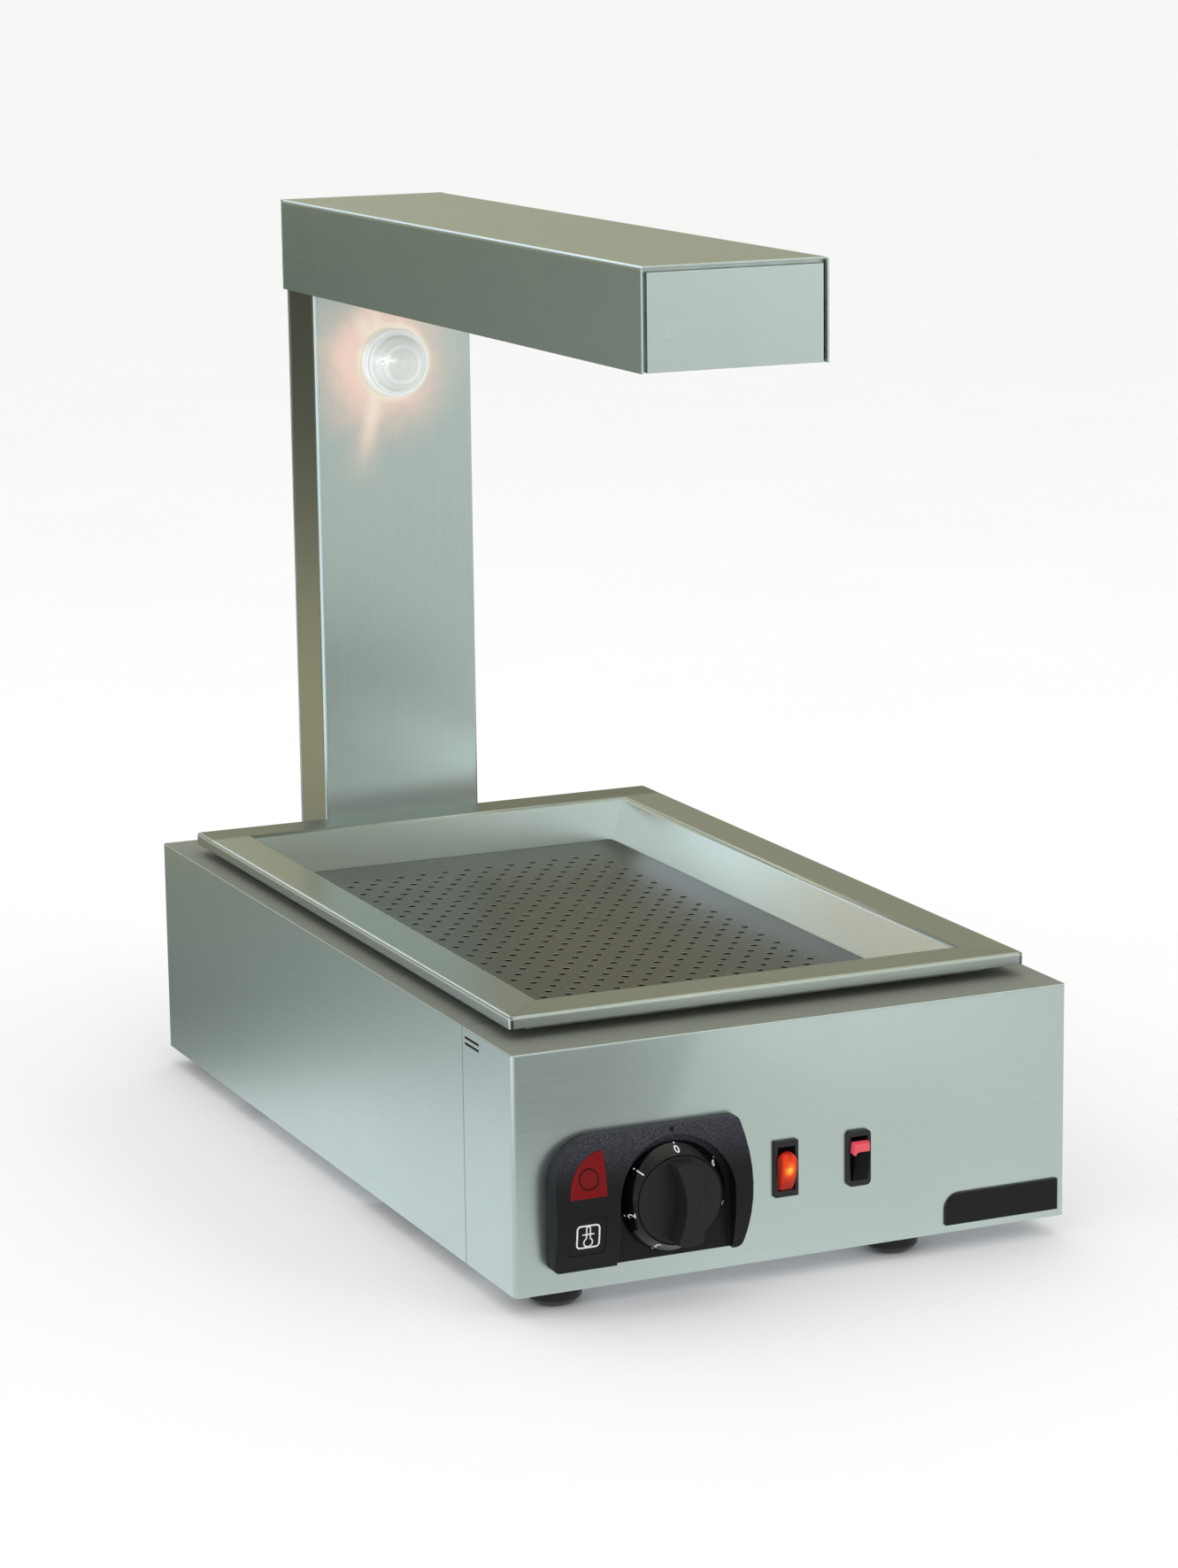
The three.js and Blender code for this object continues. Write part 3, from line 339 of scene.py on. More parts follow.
def brushed_steel(name, tone=STEEL_TONE, roughness=0.28, wall_brush=(18, 18, 1500),
                  edge_radius=0.0006, level_roughness=0.0, level_metallic=1.0, corner_shade_strength=0.4,
                  details=(), **uniform):
    """Satin stainless sheet: brush streaks, polished bends, wiping marks, painted shade in corners
    and its own details.
    """
    material, tree, shader = new_material(name, metallic=1.0, **uniform)
    streaks = use_group(tree, BRUSHED_GRAIN, {
        "Wall Scale": wall_brush, "Level Scale": LEVEL_BRUSH})
    edges = use_group(tree, ROUNDED_EDGE, {"Radius": edge_radius})
    marks = use_group(tree, HANDLING_MARKS)
    shade_in_corners = use_group(tree, PAINTED_CORNER_SHADE_GROUP)["Film"]
    base = blend(streaks["Streak"], scaled(tone, 0.97), scaled(tone, 1.03))
    base = blend(marks["Smear"] * 0.25, base, scaled(tone, 0.93))
    base = blend(marks["Scratch"] * 0.3, base, POLISHED_TONE)
    base = blend(edges["Edge"] * 0.6, base, POLISHED_TONE)
    # Painted shade in corners and joints
    base = blend(shade_in_corners * corner_shade_strength, base, PAINTED_SHADE_TONE)
    for detail in details:
        base = detail(base)
    rough = span(streaks["Streak"], 0, 1, roughness - 0.01, roughness + 0.01)
    rough = rough + marks["Smear"] * 0.02 + streaks["Level"] * level_roughness
    dress(shader, base_color=base, roughness=rough - edges["Edge"] * 0.06,
          normal=bump(streaks["Height"], 0.003, 0.0005, edges["Normal"]))
    if level_metallic < 1.0:
        dress(shader, metallic=span(streaks["Level"], 0, 1, 1.0, level_metallic))
    return material


def cold_sheet(name, tone, roughness, spangle):
    """Galvanised or zinc-plated steel, with the blotches of the coating."""
    material, tree, shader = new_material(name, metallic=1.0)
    place = surface(tree)
    flakes = field(tree, "ShaderNodeTexVoronoi", {"Vector": place, "Scale": 130.0}, "Color")
    flake = span(field(tree, "ShaderNodeSeparateColor", {0: flakes}), 0, 1, smooth=False)
    clouds = noise(place, 26.0, Detail=4.0)
    share = blend(spangle, clouds, flake, "FLOAT")
    edges = use_group(tree, ROUNDED_EDGE, {"Radius": 0.0007})
    shade_in_corners = use_group(tree, PAINTED_CORNER_SHADE_GROUP)["Film"]
    base = blend(share, scaled(tone, 0.78), scaled(tone, 1.15))
    base = blend(edges["Edge"] * 0.4, base, (0.8, 0.81, 0.82))
    # Painted shade in corners and joints
    base = blend(shade_in_corners * 0.6, base, (0.09, 0.08, 0.07))
    dress(shader, base_color=base, roughness=span(share, 0, 1, roughness - 0.08, roughness + 0.1),
          normal=bump(clouds, 0.08, 0.0006, edges["Normal"]))
    return material


def moulded_plastic(name, tone, roughness, speck_tone, speck, texture, gloss, scale=1800.0,
                    edge_radius=0.0006, worn=0.3, details=()):
    """Moulding: fine grain, specks, and edges rubbed a little lighter."""
    material, tree, shader = new_material(name, specular_ior_level=gloss)
    grain = use_group(tree, MOULDED_GRAIN, {"Scale": scale})
    edges = use_group(tree, ROUNDED_EDGE, {"Radius": edge_radius})
    marks = use_group(tree, HANDLING_MARKS, {"Blotch Scale": 30.0, "Scratch Scale": 90.0})
    base = blend(grain["Speck"] * speck, tone, speck_tone)
    base = blend(edges["Edge"] * worn, base, speck_tone)
    for detail in details:
        base = detail(base)
    dress(shader, base_color=base,
          roughness=span(marks["Smear"], 0, 1, roughness - 0.04, roughness + 0.07),
          normal=bump(grain["Height"], texture, 0.0002, edges["Normal"]))
    return material


def top_sheen(base):
    """Painted sheen: the upper part of the bezel, where its face leans back towards the light,
    made greyer and speckled.
    """
    place = surface(base.tree)
    low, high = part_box("control_bezel")
    rise = span(split(place)[2], low.z + 0.045, high.z)
    specks = span(noise(place, 1500.0, Detail=1.0), 0.42, 0.66, 0.25, 1.0)
    return blend(rise * specks * 0.75, base, (0.085, 0.086, 0.112))


def rim_mitre(base):
    """Welded line across each corner of the pan's rim, painted shade on its end strips and its
    rear strip, and the slits where the turned-down lip meets at its corners."""
    x, y, z = split(surface(base.tree))
    low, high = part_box("dump_pan")
    middle, half = (low + high) / 2, (high - low) / 2
    from_side = half.x - abs(x)
    from_end = half.y - abs(y - middle.y)
    difference = from_side - from_end
    line = span(abs(difference), 0.0007, 0.0002)
    rim = maths("MINIMUM", from_side, from_end) < RIM_WIDTH
    top = z > high.z - 0.0006
    # Painted shade: the end strips darker, as their grain runs across the light
    end = span(difference, -0.0002, 0.0002) * top
    base = blend(end * 0.18, base, (0.26, 0.30, 0.26))
    # Painted shade: the rear strip darker, where it mirrors the column's foot
    rear = span(y, high.y - RIM_WIDTH - 0.002, high.y - RIM_WIDTH + 0.004) * top
    base = blend(rear * 0.65, base, (0.10, 0.12, 0.10))
    slit = (span(from_side, 0.0030, 0.0022) * span(from_side, 0.0006, 0.0012)
            * (1.0 - top) * (from_end < 0.004))
    base = blend(slit * 0.75, base, (0.03, 0.03, 0.03))
    return blend(line * rim * top * 0.5, base, (0.12, 0.13, 0.11))


def wall_polish(base):
    """Painted light and shade in the pan: lighter inner walls and rim undersides, and a dark floor
    under the plate.
    """
    sunk = split(surface(base.tree))[2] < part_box("dump_pan")[1].z - 0.03
    across, along, upward = split(surface(base.tree, "Normal"))
    inner = upward > 0.02
    # Painted reflection: the side walls much lighter, the end walls a little lighter
    base = blend(inner * (abs(across) > SQUARE_ON), base, (0.86, 0.90, 0.93))
    base = blend(inner * (abs(along) > SQUARE_ON), base, (0.47, 0.53, 0.48))
    # Painted light on the rim's undersides, against the shade beneath them
    base = blend(upward < -0.5, base, (0.80, 0.84, 0.80))
    # Painted shade on the pan's floor under the drain plate
    return blend(sunk * (upward > SQUARE_ON) * 0.85, base, (0.05, 0.05, 0.04))


def panel_joint(base):
    """Dark line where the front panel's returns meet the casing, and painted shade on the deck."""
    away = abs(split(surface(base.tree))[1] - (PANEL_FACE + PANEL_RETURN))
    base = blend(span(away, 0.0011, 0.0004) * 0.62, base, (0.16, 0.19, 0.19))
    # Painted shade: the level deck made a darker olive, for the shade under the rim and what it
    # mirrors
    level = split(surface(base.tree, "Normal"))[2] > SQUARE_ON
    return blend(level * 0.95, base, (0.205, 0.222, 0.185))


def hand_film(base):
    """Painted shade on the front panel above and left of the knob, for the dim part of the room it
    mirrors.
    """
    x, _, z = split(surface(base.tree))
    front = split(surface(base.tree, "Normal"))[1] < -SQUARE_ON
    edge = x - (z - 0.13) * 0.4
    share = (front * span(edge, KNOB_X + 0.019, KNOB_X + 0.001)
             * span(edge, -0.165, -0.11, 0.3, 1.0) * span(z, 0.07, 0.11))
    return blend(share * 0.45, base, (0.34, 0.40, 0.385))


def heat_tint(base):
    """Brown tone on the column's sides, and painted shade darkening them towards the arm above."""
    side = abs(split(surface(base.tree, "Normal"))[0]) > SQUARE_ON
    low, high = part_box("column_channel")
    rise = span(split(surface(base.tree))[2], low.z + 0.24, high.z - 0.03, 0.0, 0.92)
    base = blend(side * 0.35, base, (0.50, 0.46, 0.33))
    # Painted shade under the arm
    return blend(side * rise, base, (0.13, 0.125, 0.085))


def beam(across, upward, start, stop, width):
    """Tapering streak from start to stop; 1 along its middle."""
    run = Vector(stop) - Vector(start)
    way = run.normalized()
    from_x, from_z = across - start[0], upward - start[1]
    share = (from_x * way.x + from_z * way.y) / run.length
    aside = abs(from_x * way.y - from_z * way.x)
    return span(share, -0.15, 0.05) * span(share, 1.0, 0.2) * span(aside, width, 0.0)


def column_finish():
    """Column sheet with painted light as emission: the lamp's glow on the steel round it, and a
    painted reflection of the pan at its foot.
    """
    material = brushed_steel(
        "column steel", wall_brush=(1500, 1500, 18), details=[heat_tint], emission_strength=1.0)
    tree = material.node_tree
    place = surface(tree)
    x, _, z = split(place)
    lamp = middle_of("lamp_glass")
    across, upward = x - lamp.x, z - lamp.z
    uneven = span(noise(place, 60.0, Detail=2.0), 0.3, 0.7, -0.003, 0.003)
    pink_away = distance(across + 0.009, upward) + uneven
    narrow = [beam(across, upward, *ends, width) for *ends, width in GLOW_BEAMS]
    wide = [beam(across, upward, *ends, width * 1.7) for *ends, width in GLOW_BEAMS]
    pink = largest(span(pink_away, 0.066, 0.022), *(streak * 0.95 for streak in wide))
    peach = largest(*(streak * streak * 0.85 for streak in narrow))
    yellow = span(distance(across, upward), 0.0285, 0.0235, 0.0, 0.8)
    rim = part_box("dump_pan")[1].z
    # Painted reflection of the pan, glowing on the column's foot
    glow = blend(span(z, rim + 0.11, rim + 0.01), (0, 0, 0), (0.115, 0.132, 0.122))
    near = span(pink_away, 0.050, 0.024)
    glow = blend(pink, glow, blend(near, (0.27, 0.075, 0.035), (0.45, 0.165, 0.105)))
    glow = blend(peach, glow, (0.45, 0.29, 0.20))
    glow = blend(yellow, glow, (0.46, 0.36, 0.24))
    front = split(surface(tree, "Normal"))[1] < -SQUARE_ON
    dress(tree.nodes["Principled BSDF"], emission_color=blend(front, (0, 0, 0), glow))
    return material


def red_lens_material():
    """Dark red lens with a circle engraved over the lamp behind it."""
    material, tree, shader = new_material("red lens", roughness=0.3, specular_ior_level=0.12)
    x, _, z = split(surface(tree))
    lamp = middle_of("pilot_lamp")
    away = distance(x - lamp.x, z - lamp.z)
    ring = span(abs(away - 0.0057), 0.0006, 0.00035)
    inside = span(away, 0.0058, 0.0050)
    grain = use_group(tree, MOULDED_GRAIN, {"Scale": 700.0})["Height"]
    edges = use_group(tree, ROUNDED_EDGE, {"Radius": 0.0005})
    base = blend(grain, (0.155, 0.003, 0.004), (0.20, 0.005, 0.006))
    base = blend(inside * 0.3, base, (0.13, 0.006, 0.007))
    base = blend(ring * 0.9, base, (0.018, 0.001, 0.001))
    base = blend(edges["Edge"] * 0.4, base, (0.5, 0.08, 0.07))
    dress(shader, base_color=base, normal=bump(grain - ring, 0.12, 0.0003, edges["Normal"]))
    return material


def lit_amber_material():
    """Rocker with its lamp on: hot near the middle, deeper red towards its foot and edges."""
    material, tree, shader = new_material(
        "lit amber", roughness=0.3, emission_strength=1.0, specular_ior_level=0.15)
    place = surface(tree)
    x, _, z = split(place)
    middle = middle_of("switch_rocker_left")
    across, upward = (x - middle.x) / 0.0052, (z - middle.z) / 0.0112
    uneven = span(noise(place, 360.0, Detail=2.0), 0.3, 0.7, -0.12, 0.12)
    hot = distance(across - 0.12, (upward - 0.10) * 1.7) + uneven
    tone = ramp(upward + uneven, [
        (-1.0, (0.22, 0.006, 0.006)), (-0.55, (0.40, 0.018, 0.006)), (-0.25, (0.62, 0.040, 0.006)),
        (0.3, (0.76, 0.065, 0.008)), (0.75, (0.70, 0.040, 0.008)), (1.0, (0.32, 0.010, 0.008))])
    tone = blend(span(hot, 0.85, 0.22), tone, (0.86, 0.19, 0.014))
    tone = blend(span(hot, 0.44, 0.06), tone, (0.98, 0.56, 0.06))
    tone = blend(span(abs(across), 0.6, 1.0) * 0.8, tone, (0.16, 0.004, 0.004))
    dress(shader, base_color=blend(0.96, tone, (0.05, 0.005, 0.002)), emission_color=tone)
    return material


def lit_red_material():
    """Red lens of the second rocker and the pilot lamp behind its window."""
    material, tree, shader = new_material("lit red", roughness=0.3, emission_strength=0.55)
    grain = use_group(tree, MOULDED_GRAIN, {"Scale": 900.0})["Height"]
    edge = use_group(tree, ROUNDED_EDGE, {"Radius": 0.0006})["Edge"]
    glow = blend(grain, (0.78, 0.075, 0.10), (0.86, 0.10, 0.135))
    glow = blend(edge * 0.5, glow, (0.5, 0.03, 0.04))
    dress(shader, base_color=blend(0.7, glow, (0.1, 0.01, 0.01)), emission_color=glow)
    return material


def white_ink_material():
    material, tree, shader = new_material("white ink", roughness=0.5)
    speck = use_group(tree, MOULDED_GRAIN, {"Scale": 2400.0})["Speck"]
    dress(shader, base_color=blend(speck, (0.78, 0.79, 0.79), (0.62, 0.63, 0.64)))
    return material


def lamp_glass_material():
    """Pressed glass cover with fine rings and a bright rim, lit from behind."""
    material, tree, shader = new_material(
        "lamp glass", roughness=0.16, emission_strength=0.3, coat_weight=0.3,
        transmission_weight=0.08)
    place = surface(tree)
    x, _, z = split(place)
    middle = middle_of("lamp_glass")
    across, upward = x - middle.x, z - middle.z
    waves = noise(place, 160.0, Detail=3.0)
    away = distance(across, upward) + span(waves, 0.3, 0.7, -0.0002, 0.0002)
    tone = ramp(away, [
        (0.0, (0.68, 0.70, 0.68)), (0.0040, (0.64, 0.67, 0.64)), (0.0075, (0.66, 0.69, 0.66)),
        (0.0100, (0.64, 0.67, 0.65)), (0.0124, (0.78, 0.80, 0.78)), (0.0138, (0.66, 0.70, 0.67)),
        (0.0170, (0.70, 0.73, 0.71)), (0.0186, (0.63, 0.67, 0.65)), (0.0196, (0.82, 0.84, 0.83)),
        (0.0205, (0.62, 0.67, 0.65)), (0.0214, (0.88, 0.90, 0.89)), (0.0230, (0.72, 0.77, 0.77))])
    glint = span(distance((across + 0.0115) * 0.5, upward - 0.0034), 0.0046, 0.0015)
    sparkle = span(noise(place, 480.0, Detail=2.0), 0.44, 0.56)
    tone = blend(glint * sparkle, tone, (1.0, 1.0, 1.0))
    normal = use_group(tree, ROUNDED_EDGE, {"Radius": 0.0008})["Normal"]
    dress(shader, base_color=tone, emission_color=tone, normal=bump(waves, 0.15, 0.0008, normal))
    return material


def bulb_material():
    material, tree, shader = new_material("bulb glass", roughness=0.2, emission_strength=1.2)
    tone = blend(noise(surface(tree), 90.0), (1.0, 0.74, 0.52), (1.0, 0.88, 0.72))
    dress(shader, base_color=tone, emission_color=tone)
    return material


steel = brushed_steel("brushed steel")
body_steel = brushed_steel(
    "body steel", level_roughness=0.32, level_metallic=0.35, corner_shade_strength=0.05,
    details=[panel_joint, hand_film])
column_steel = column_finish()
pan_steel = brushed_steel(
    "pan steel", tone=(0.37, 0.42, 0.385), roughness=0.29, details=[rim_mitre, wall_polish])
# Painted shade: the drain plate's steel much darker than the rest, as it lies low in the pan
drain_steel = brushed_steel(
    "drain steel", tone=(0.105, 0.115, 0.096), roughness=0.34, edge_radius=0.0005)
galvanised = cold_sheet("galvanised sheet", (0.40, 0.42, 0.43), 0.5, spangle=0.7)
zinc = cold_sheet("zinc plate", (0.60, 0.61, 0.60), 0.34, spangle=0.15)
sheath = cold_sheet("element sheath", (0.09, 0.08, 0.07), 0.55, spangle=0.1)
brass = cold_sheet("brass", (0.52, 0.38, 0.16), 0.34, spangle=0.1)
bezel_plastic = moulded_plastic(
    "bezel plastic", (0.008, 0.008, 0.0095), 0.42, (0.10, 0.10, 0.125),
    speck=0.12, texture=0.5, gloss=0.15, details=[top_sheen])
grip_plastic = moulded_plastic(
    "grip plastic", (0.014, 0.0145, 0.0158), 0.5, (0.05, 0.053, 0.058),
    speck=0.1, texture=0.3, gloss=0.2)
gloss_plastic = moulded_plastic(
    "gloss plastic", (0.003, 0.003, 0.0035), 0.13, (0.03, 0.03, 0.04),
    speck=0.0, texture=0.02, gloss=0.22, worn=0.2)
housing_plastic = moulded_plastic(
    "housing plastic", (0.012, 0.013, 0.015), 0.36, (0.09, 0.10, 0.12),
    speck=0.08, texture=0.12, gloss=0.3)
foot_rubber = moulded_plastic(
    "foot rubber", (0.012, 0.013, 0.0135), 0.6, (0.05, 0.055, 0.06),
    speck=0.15, texture=0.4, gloss=0.2, scale=900.0, edge_radius=0.001)
ceramic = moulded_plastic(
    "white ceramic", (0.74, 0.71, 0.64), 0.42, (0.86, 0.84, 0.79),
    speck=0.15, texture=0.1, gloss=0.5, scale=420.0, worn=0.1)
cap_plastic = moulded_plastic(
    "cap plastic", (0.004, 0.004, 0.0045), 0.5, (0.03, 0.03, 0.035),
    speck=0.05, texture=0.2, gloss=0.08)
red_lens = red_lens_material()
lit_amber = lit_amber_material()
lit_red = lit_red_material()
white_ink = white_ink_material()
lamp_glass = lamp_glass_material()
bulb_glass = bulb_material()


# ---------------------------------------------------------------- making pieces

def mesh_piece(name, vertices, faces, material, slot, body="root", smooth=40.0):
    """Piece from its points and faces, shaded smooth up to an angle, riding its body."""
    mesh = bpy.data.meshes.new(name)
    mesh.from_pydata([tuple(v) for v in vertices], [], faces)
    work = bmesh.new()
    work.from_mesh(mesh)
    bmesh.ops.remove_doubles(work, verts=work.verts, dist=1e-7)
    bmesh.ops.recalc_face_normals(work, faces=work.faces)
    work.to_mesh(mesh)
    work.free()
    for polygon in mesh.polygons:
        polygon.use_smooth = True
    mesh.set_sharp_from_angle(angle=radians(smooth))
    mesh.materials.append(material)
    piece = new_object(name, mesh)
    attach(piece, body)
    return piece


def turned(name, profile, centre, axis, material, steps=96, **riding):
    """Piece turned round an axis through centre. The profile is (radius, place along the axis)."""
    vertices, faces = [], []
    count = len(profile)
    for step in range(steps):
        turn = tau * step / steps
        for radius, along in profile:
            u, v = radius * cos(turn), radius * sin(turn)
            offset = Vector((u, along, v)) if axis == "Y" else Vector((u, v, along))
            vertices.append(centre + offset)
    for step in range(steps):
        a, b = step * count, (step + 1) % steps * count
        faces += [(a + i, a + i + 1, b + i + 1, b + i) for i in range(count - 1)]
    if profile[0] != profile[-1]:
        if profile[0][0] > 1e-9:
            faces.append(tuple(step * count for step in range(steps)))
        if profile[-1][0] > 1e-9:
            faces.append(tuple(step * count + count - 1 for step in reversed(range(steps))))
    return mesh_piece(name, vertices, faces, material, **riding)


def rounded_profile(corners, radius, steps=4):
    """Profile with each inner corner rounded by an arc of about the given radius."""
    made = [corners[0]]
    for before, corner, after in zip(corners, corners[1:], corners[2:]):
        corner = Vector(corner)
        back, ahead = Vector(before) - corner, Vector(after) - corner
        reach = min(radius, back.length * 0.45, ahead.length * 0.45)
        start = corner + back.normalized() * reach
        stop = corner + ahead.normalized() * reach
        for i in range(steps + 1):
            t = i / steps
            made.append(tuple(start.lerp(corner, t).lerp(corner.lerp(stop, t), t)))
    made.append(corners[-1])
    return made


# ---------------------------------------------------------------- sheet metal and inner pieces

BROAD_FACE = 0.0012
FOLD_ANGLE = radians(40.0)
SMOOTH_ANGLE = radians(30.0)


def geometry_group(name):
    """Empty geometry group and the piece that goes into it."""
    tree = bpy.data.node_groups.new(name, "GeometryNodeTree")
    for way in ("INPUT", "OUTPUT"):
        tree.interface.new_socket("Geometry", in_out=way, socket_type="NodeSocketGeometry")
    return tree, field(tree, "NodeGroupInput")


def compare(value, operation, limit):
    return field(value.tree, "FunctionNodeCompare", {0: value, 1: limit}, operation=operation)


def both(a, b):
    return field(a.tree, "FunctionNodeBooleanMath", {0: a, 1: b})


def on_faces(value):
    """Value taken at the faces; at an edge it is the mean of the two beside it."""
    return field(
        value.tree, "GeometryNodeFieldOnDomain", {0: value}, domain="FACE", data_type="FLOAT")


def fold_weights_group(name, level_share):
    """Marks the outside folds between broad faces; cut edges and undersides stay sharp.

    Folds along a level face get only level_share of the bend.
    """
    tree, given = geometry_group(name)
    upward = split(field(tree, "GeometryNodeInputNormal"))[2]
    broad = compare(field(tree, "GeometryNodeInputMeshFaceArea"), "GREATER_THAN", BROAD_FACE)
    useful = both(broad, compare(upward, "GREATER_THAN", -0.05))
    between = compare(on_faces(useful), "GREATER_THAN", 0.99)
    angle = field(tree, "GeometryNodeInputMeshEdgeAngle", output=1)
    fold = both(between, compare(angle, "GREATER_THAN", FOLD_ANGLE))
    beside_level = compare(on_faces(upward), "GREATER_THAN", 0.3)
    weight = (beside_level * (level_share - 1.0) + 1.0) * fold
    marked = field(
        tree, "GeometryNodeStoreNamedAttribute",
        {"Geometry": given, "Name": "bevel_weight_edge", "Value": weight},
        domain="EDGE", data_type="FLOAT")
    add_node(tree, "NodeGroupOutput", {0: marked})
    return tree


def welded_faces_group():
    """Joins a CAD piece's triangles, and shades it smooth except across its real edges."""
    tree, given = geometry_group("Welded faces")
    bare = field(
        tree, "GeometryNodeRemoveAttribute", {"Geometry": given, "Name": "custom_normal"})
    joined = field(tree, "GeometryNodeMergeByDistance", {"Geometry": bare, "Distance": 1e-6})
    faces = field(tree, "GeometryNodeSetShadeSmooth", {"Geometry": joined})
    angle = field(tree, "GeometryNodeInputMeshEdgeAngle")
    gentle = compare(angle, "LESS_THAN", SMOOTH_ANGLE)
    edges = field(
        tree, "GeometryNodeSetShadeSmooth", {"Geometry": faces, "Shade Smooth": gentle},
        domain="EDGE")
    add_node(tree, "NodeGroupOutput", {0: edges})
    return tree


WELDED_FACES = welded_faces_group()
EVEN_FOLDS = fold_weights_group("Even folds", 1.0)
CRISP_TOP_FOLDS = fold_weights_group("Crisp top folds", 0.25)


def finish_node(name, material, bend=0.0, folds=EVEN_FOLDS):
    """Gives a CAD piece its finish; bend rounds the outside of its folds."""
    piece = NODES[name]
    piece.data.materials.clear()
    piece.data.materials.append(material)
    piece.modifiers.new("weld", "NODES").node_group = WELDED_FACES
    if bend:
        merge = piece.modifiers.new("flat faces", "DECIMATE")
        merge.decimate_type = "DISSOLVE"
        merge.angle_limit = radians(1.0)
        piece.modifiers.new("folds", "NODES").node_group = folds
        fold = piece.modifiers.new("bends", "BEVEL")
        fold.width = bend
        fold.segments = 4
        fold.limit_method = "WEIGHT"
        fold.harden_normals = True


FOOT_ENDS = ("left_front", "left_rear", "right_front", "right_rear")
NUMBERS = (1, 2, 3, 4)
# Finish, bend radius and the CAD pieces that have them
FINISHES = [
    (steel, 0.0024, ["arm_channel"]),
    (steel, 0.0004, ["arm_end_cap"]),
    (steel, 0.0009, ["arm_rear_cap"]),
    (column_steel, 0.0028, ["column_channel"]),
    (column_steel, 0.0012, ["column_rear_cover"]),
    (pan_steel, 0.0022, ["dump_pan"]),
    (galvanised, 0.0009, [
        "base_tray", "well_liner", "element_bracket_front", "element_bracket_rear",
        "column_mount_plate", "heat_reflector", "emitter_clip_front", "emitter_clip_rear"]),
    (zinc, 0.0, [
        "guard_grille", "regulator_spindle", *(f"foot_screw_{end}" for end in FOOT_ENDS),
        *(f"column_bolt_{i}" for i in NUMBERS), *(f"cover_screw_{i}" for i in NUMBERS)]),
    (sheath, 0.0, ["base_element"]),
    (brass, 0.0, ["regulator_nut"]),
    (ceramic, 0.0, [
        "ceramic_emitter_front", "ceramic_emitter_rear", "lamp_holder", "regulator_body",
        "terminal_block"]),
    (bezel_plastic, 0.0, ["control_bezel"]),
    (gloss_plastic, 0.0, ["sign_plate", "badge_plate"]),
    (housing_plastic, 0.0, [
        "switch_housing_left", "switch_housing_right", "cable_gland", "gland_lock_nut"]),
    (red_lens, 0.0, ["signal_lens"]),
    (lit_red, 0.0, ["pilot_lamp"]),
    (grip_plastic, 0.0, ["switch_rocker_left", "switch_rocker_right"]),
    (bulb_glass, 0.0, ["lamp_bulb"]),
]
for material, bend, names in FINISHES:
    for name in names:
        finish_node(name, material, bend)
for name in ("casing_shell", "front_panel"):
    finish_node(name, body_steel, 0.0024, CRISP_TOP_FOLDS)

# ---------------------------------------------------------------- drain plate

HOLE_PITCH_X = 0.0158
HOLE_PITCH_Y = 0.0113
HOLE_RADIUS = 0.0025
HOLE_CORNERS = 12
HOLES_ACROSS = 6
LAST_ROW = 0.486
ROW_COUNT = 35
PLATE_THICK = 0.0012
LEG_HALF = 0.1101
LEG_INSET = 0.0057
# Corners and middles of a cell's sides, in half pitches from its hole
CELL_POINTS = ((1, -1), (1, 0), (1, 1), (0, 1), (-1, 1), (-1, 0), (-1, -1), (0, -1))
# A box's faces by its corners' numbers, which count up by X, then Y, then Z
BOX_FACES = (
    (0, 1, 3, 2), (4, 6, 7, 5), (0, 4, 5, 1), (1, 5, 7, 3), (3, 7, 6, 2), (2, 6, 4, 0))


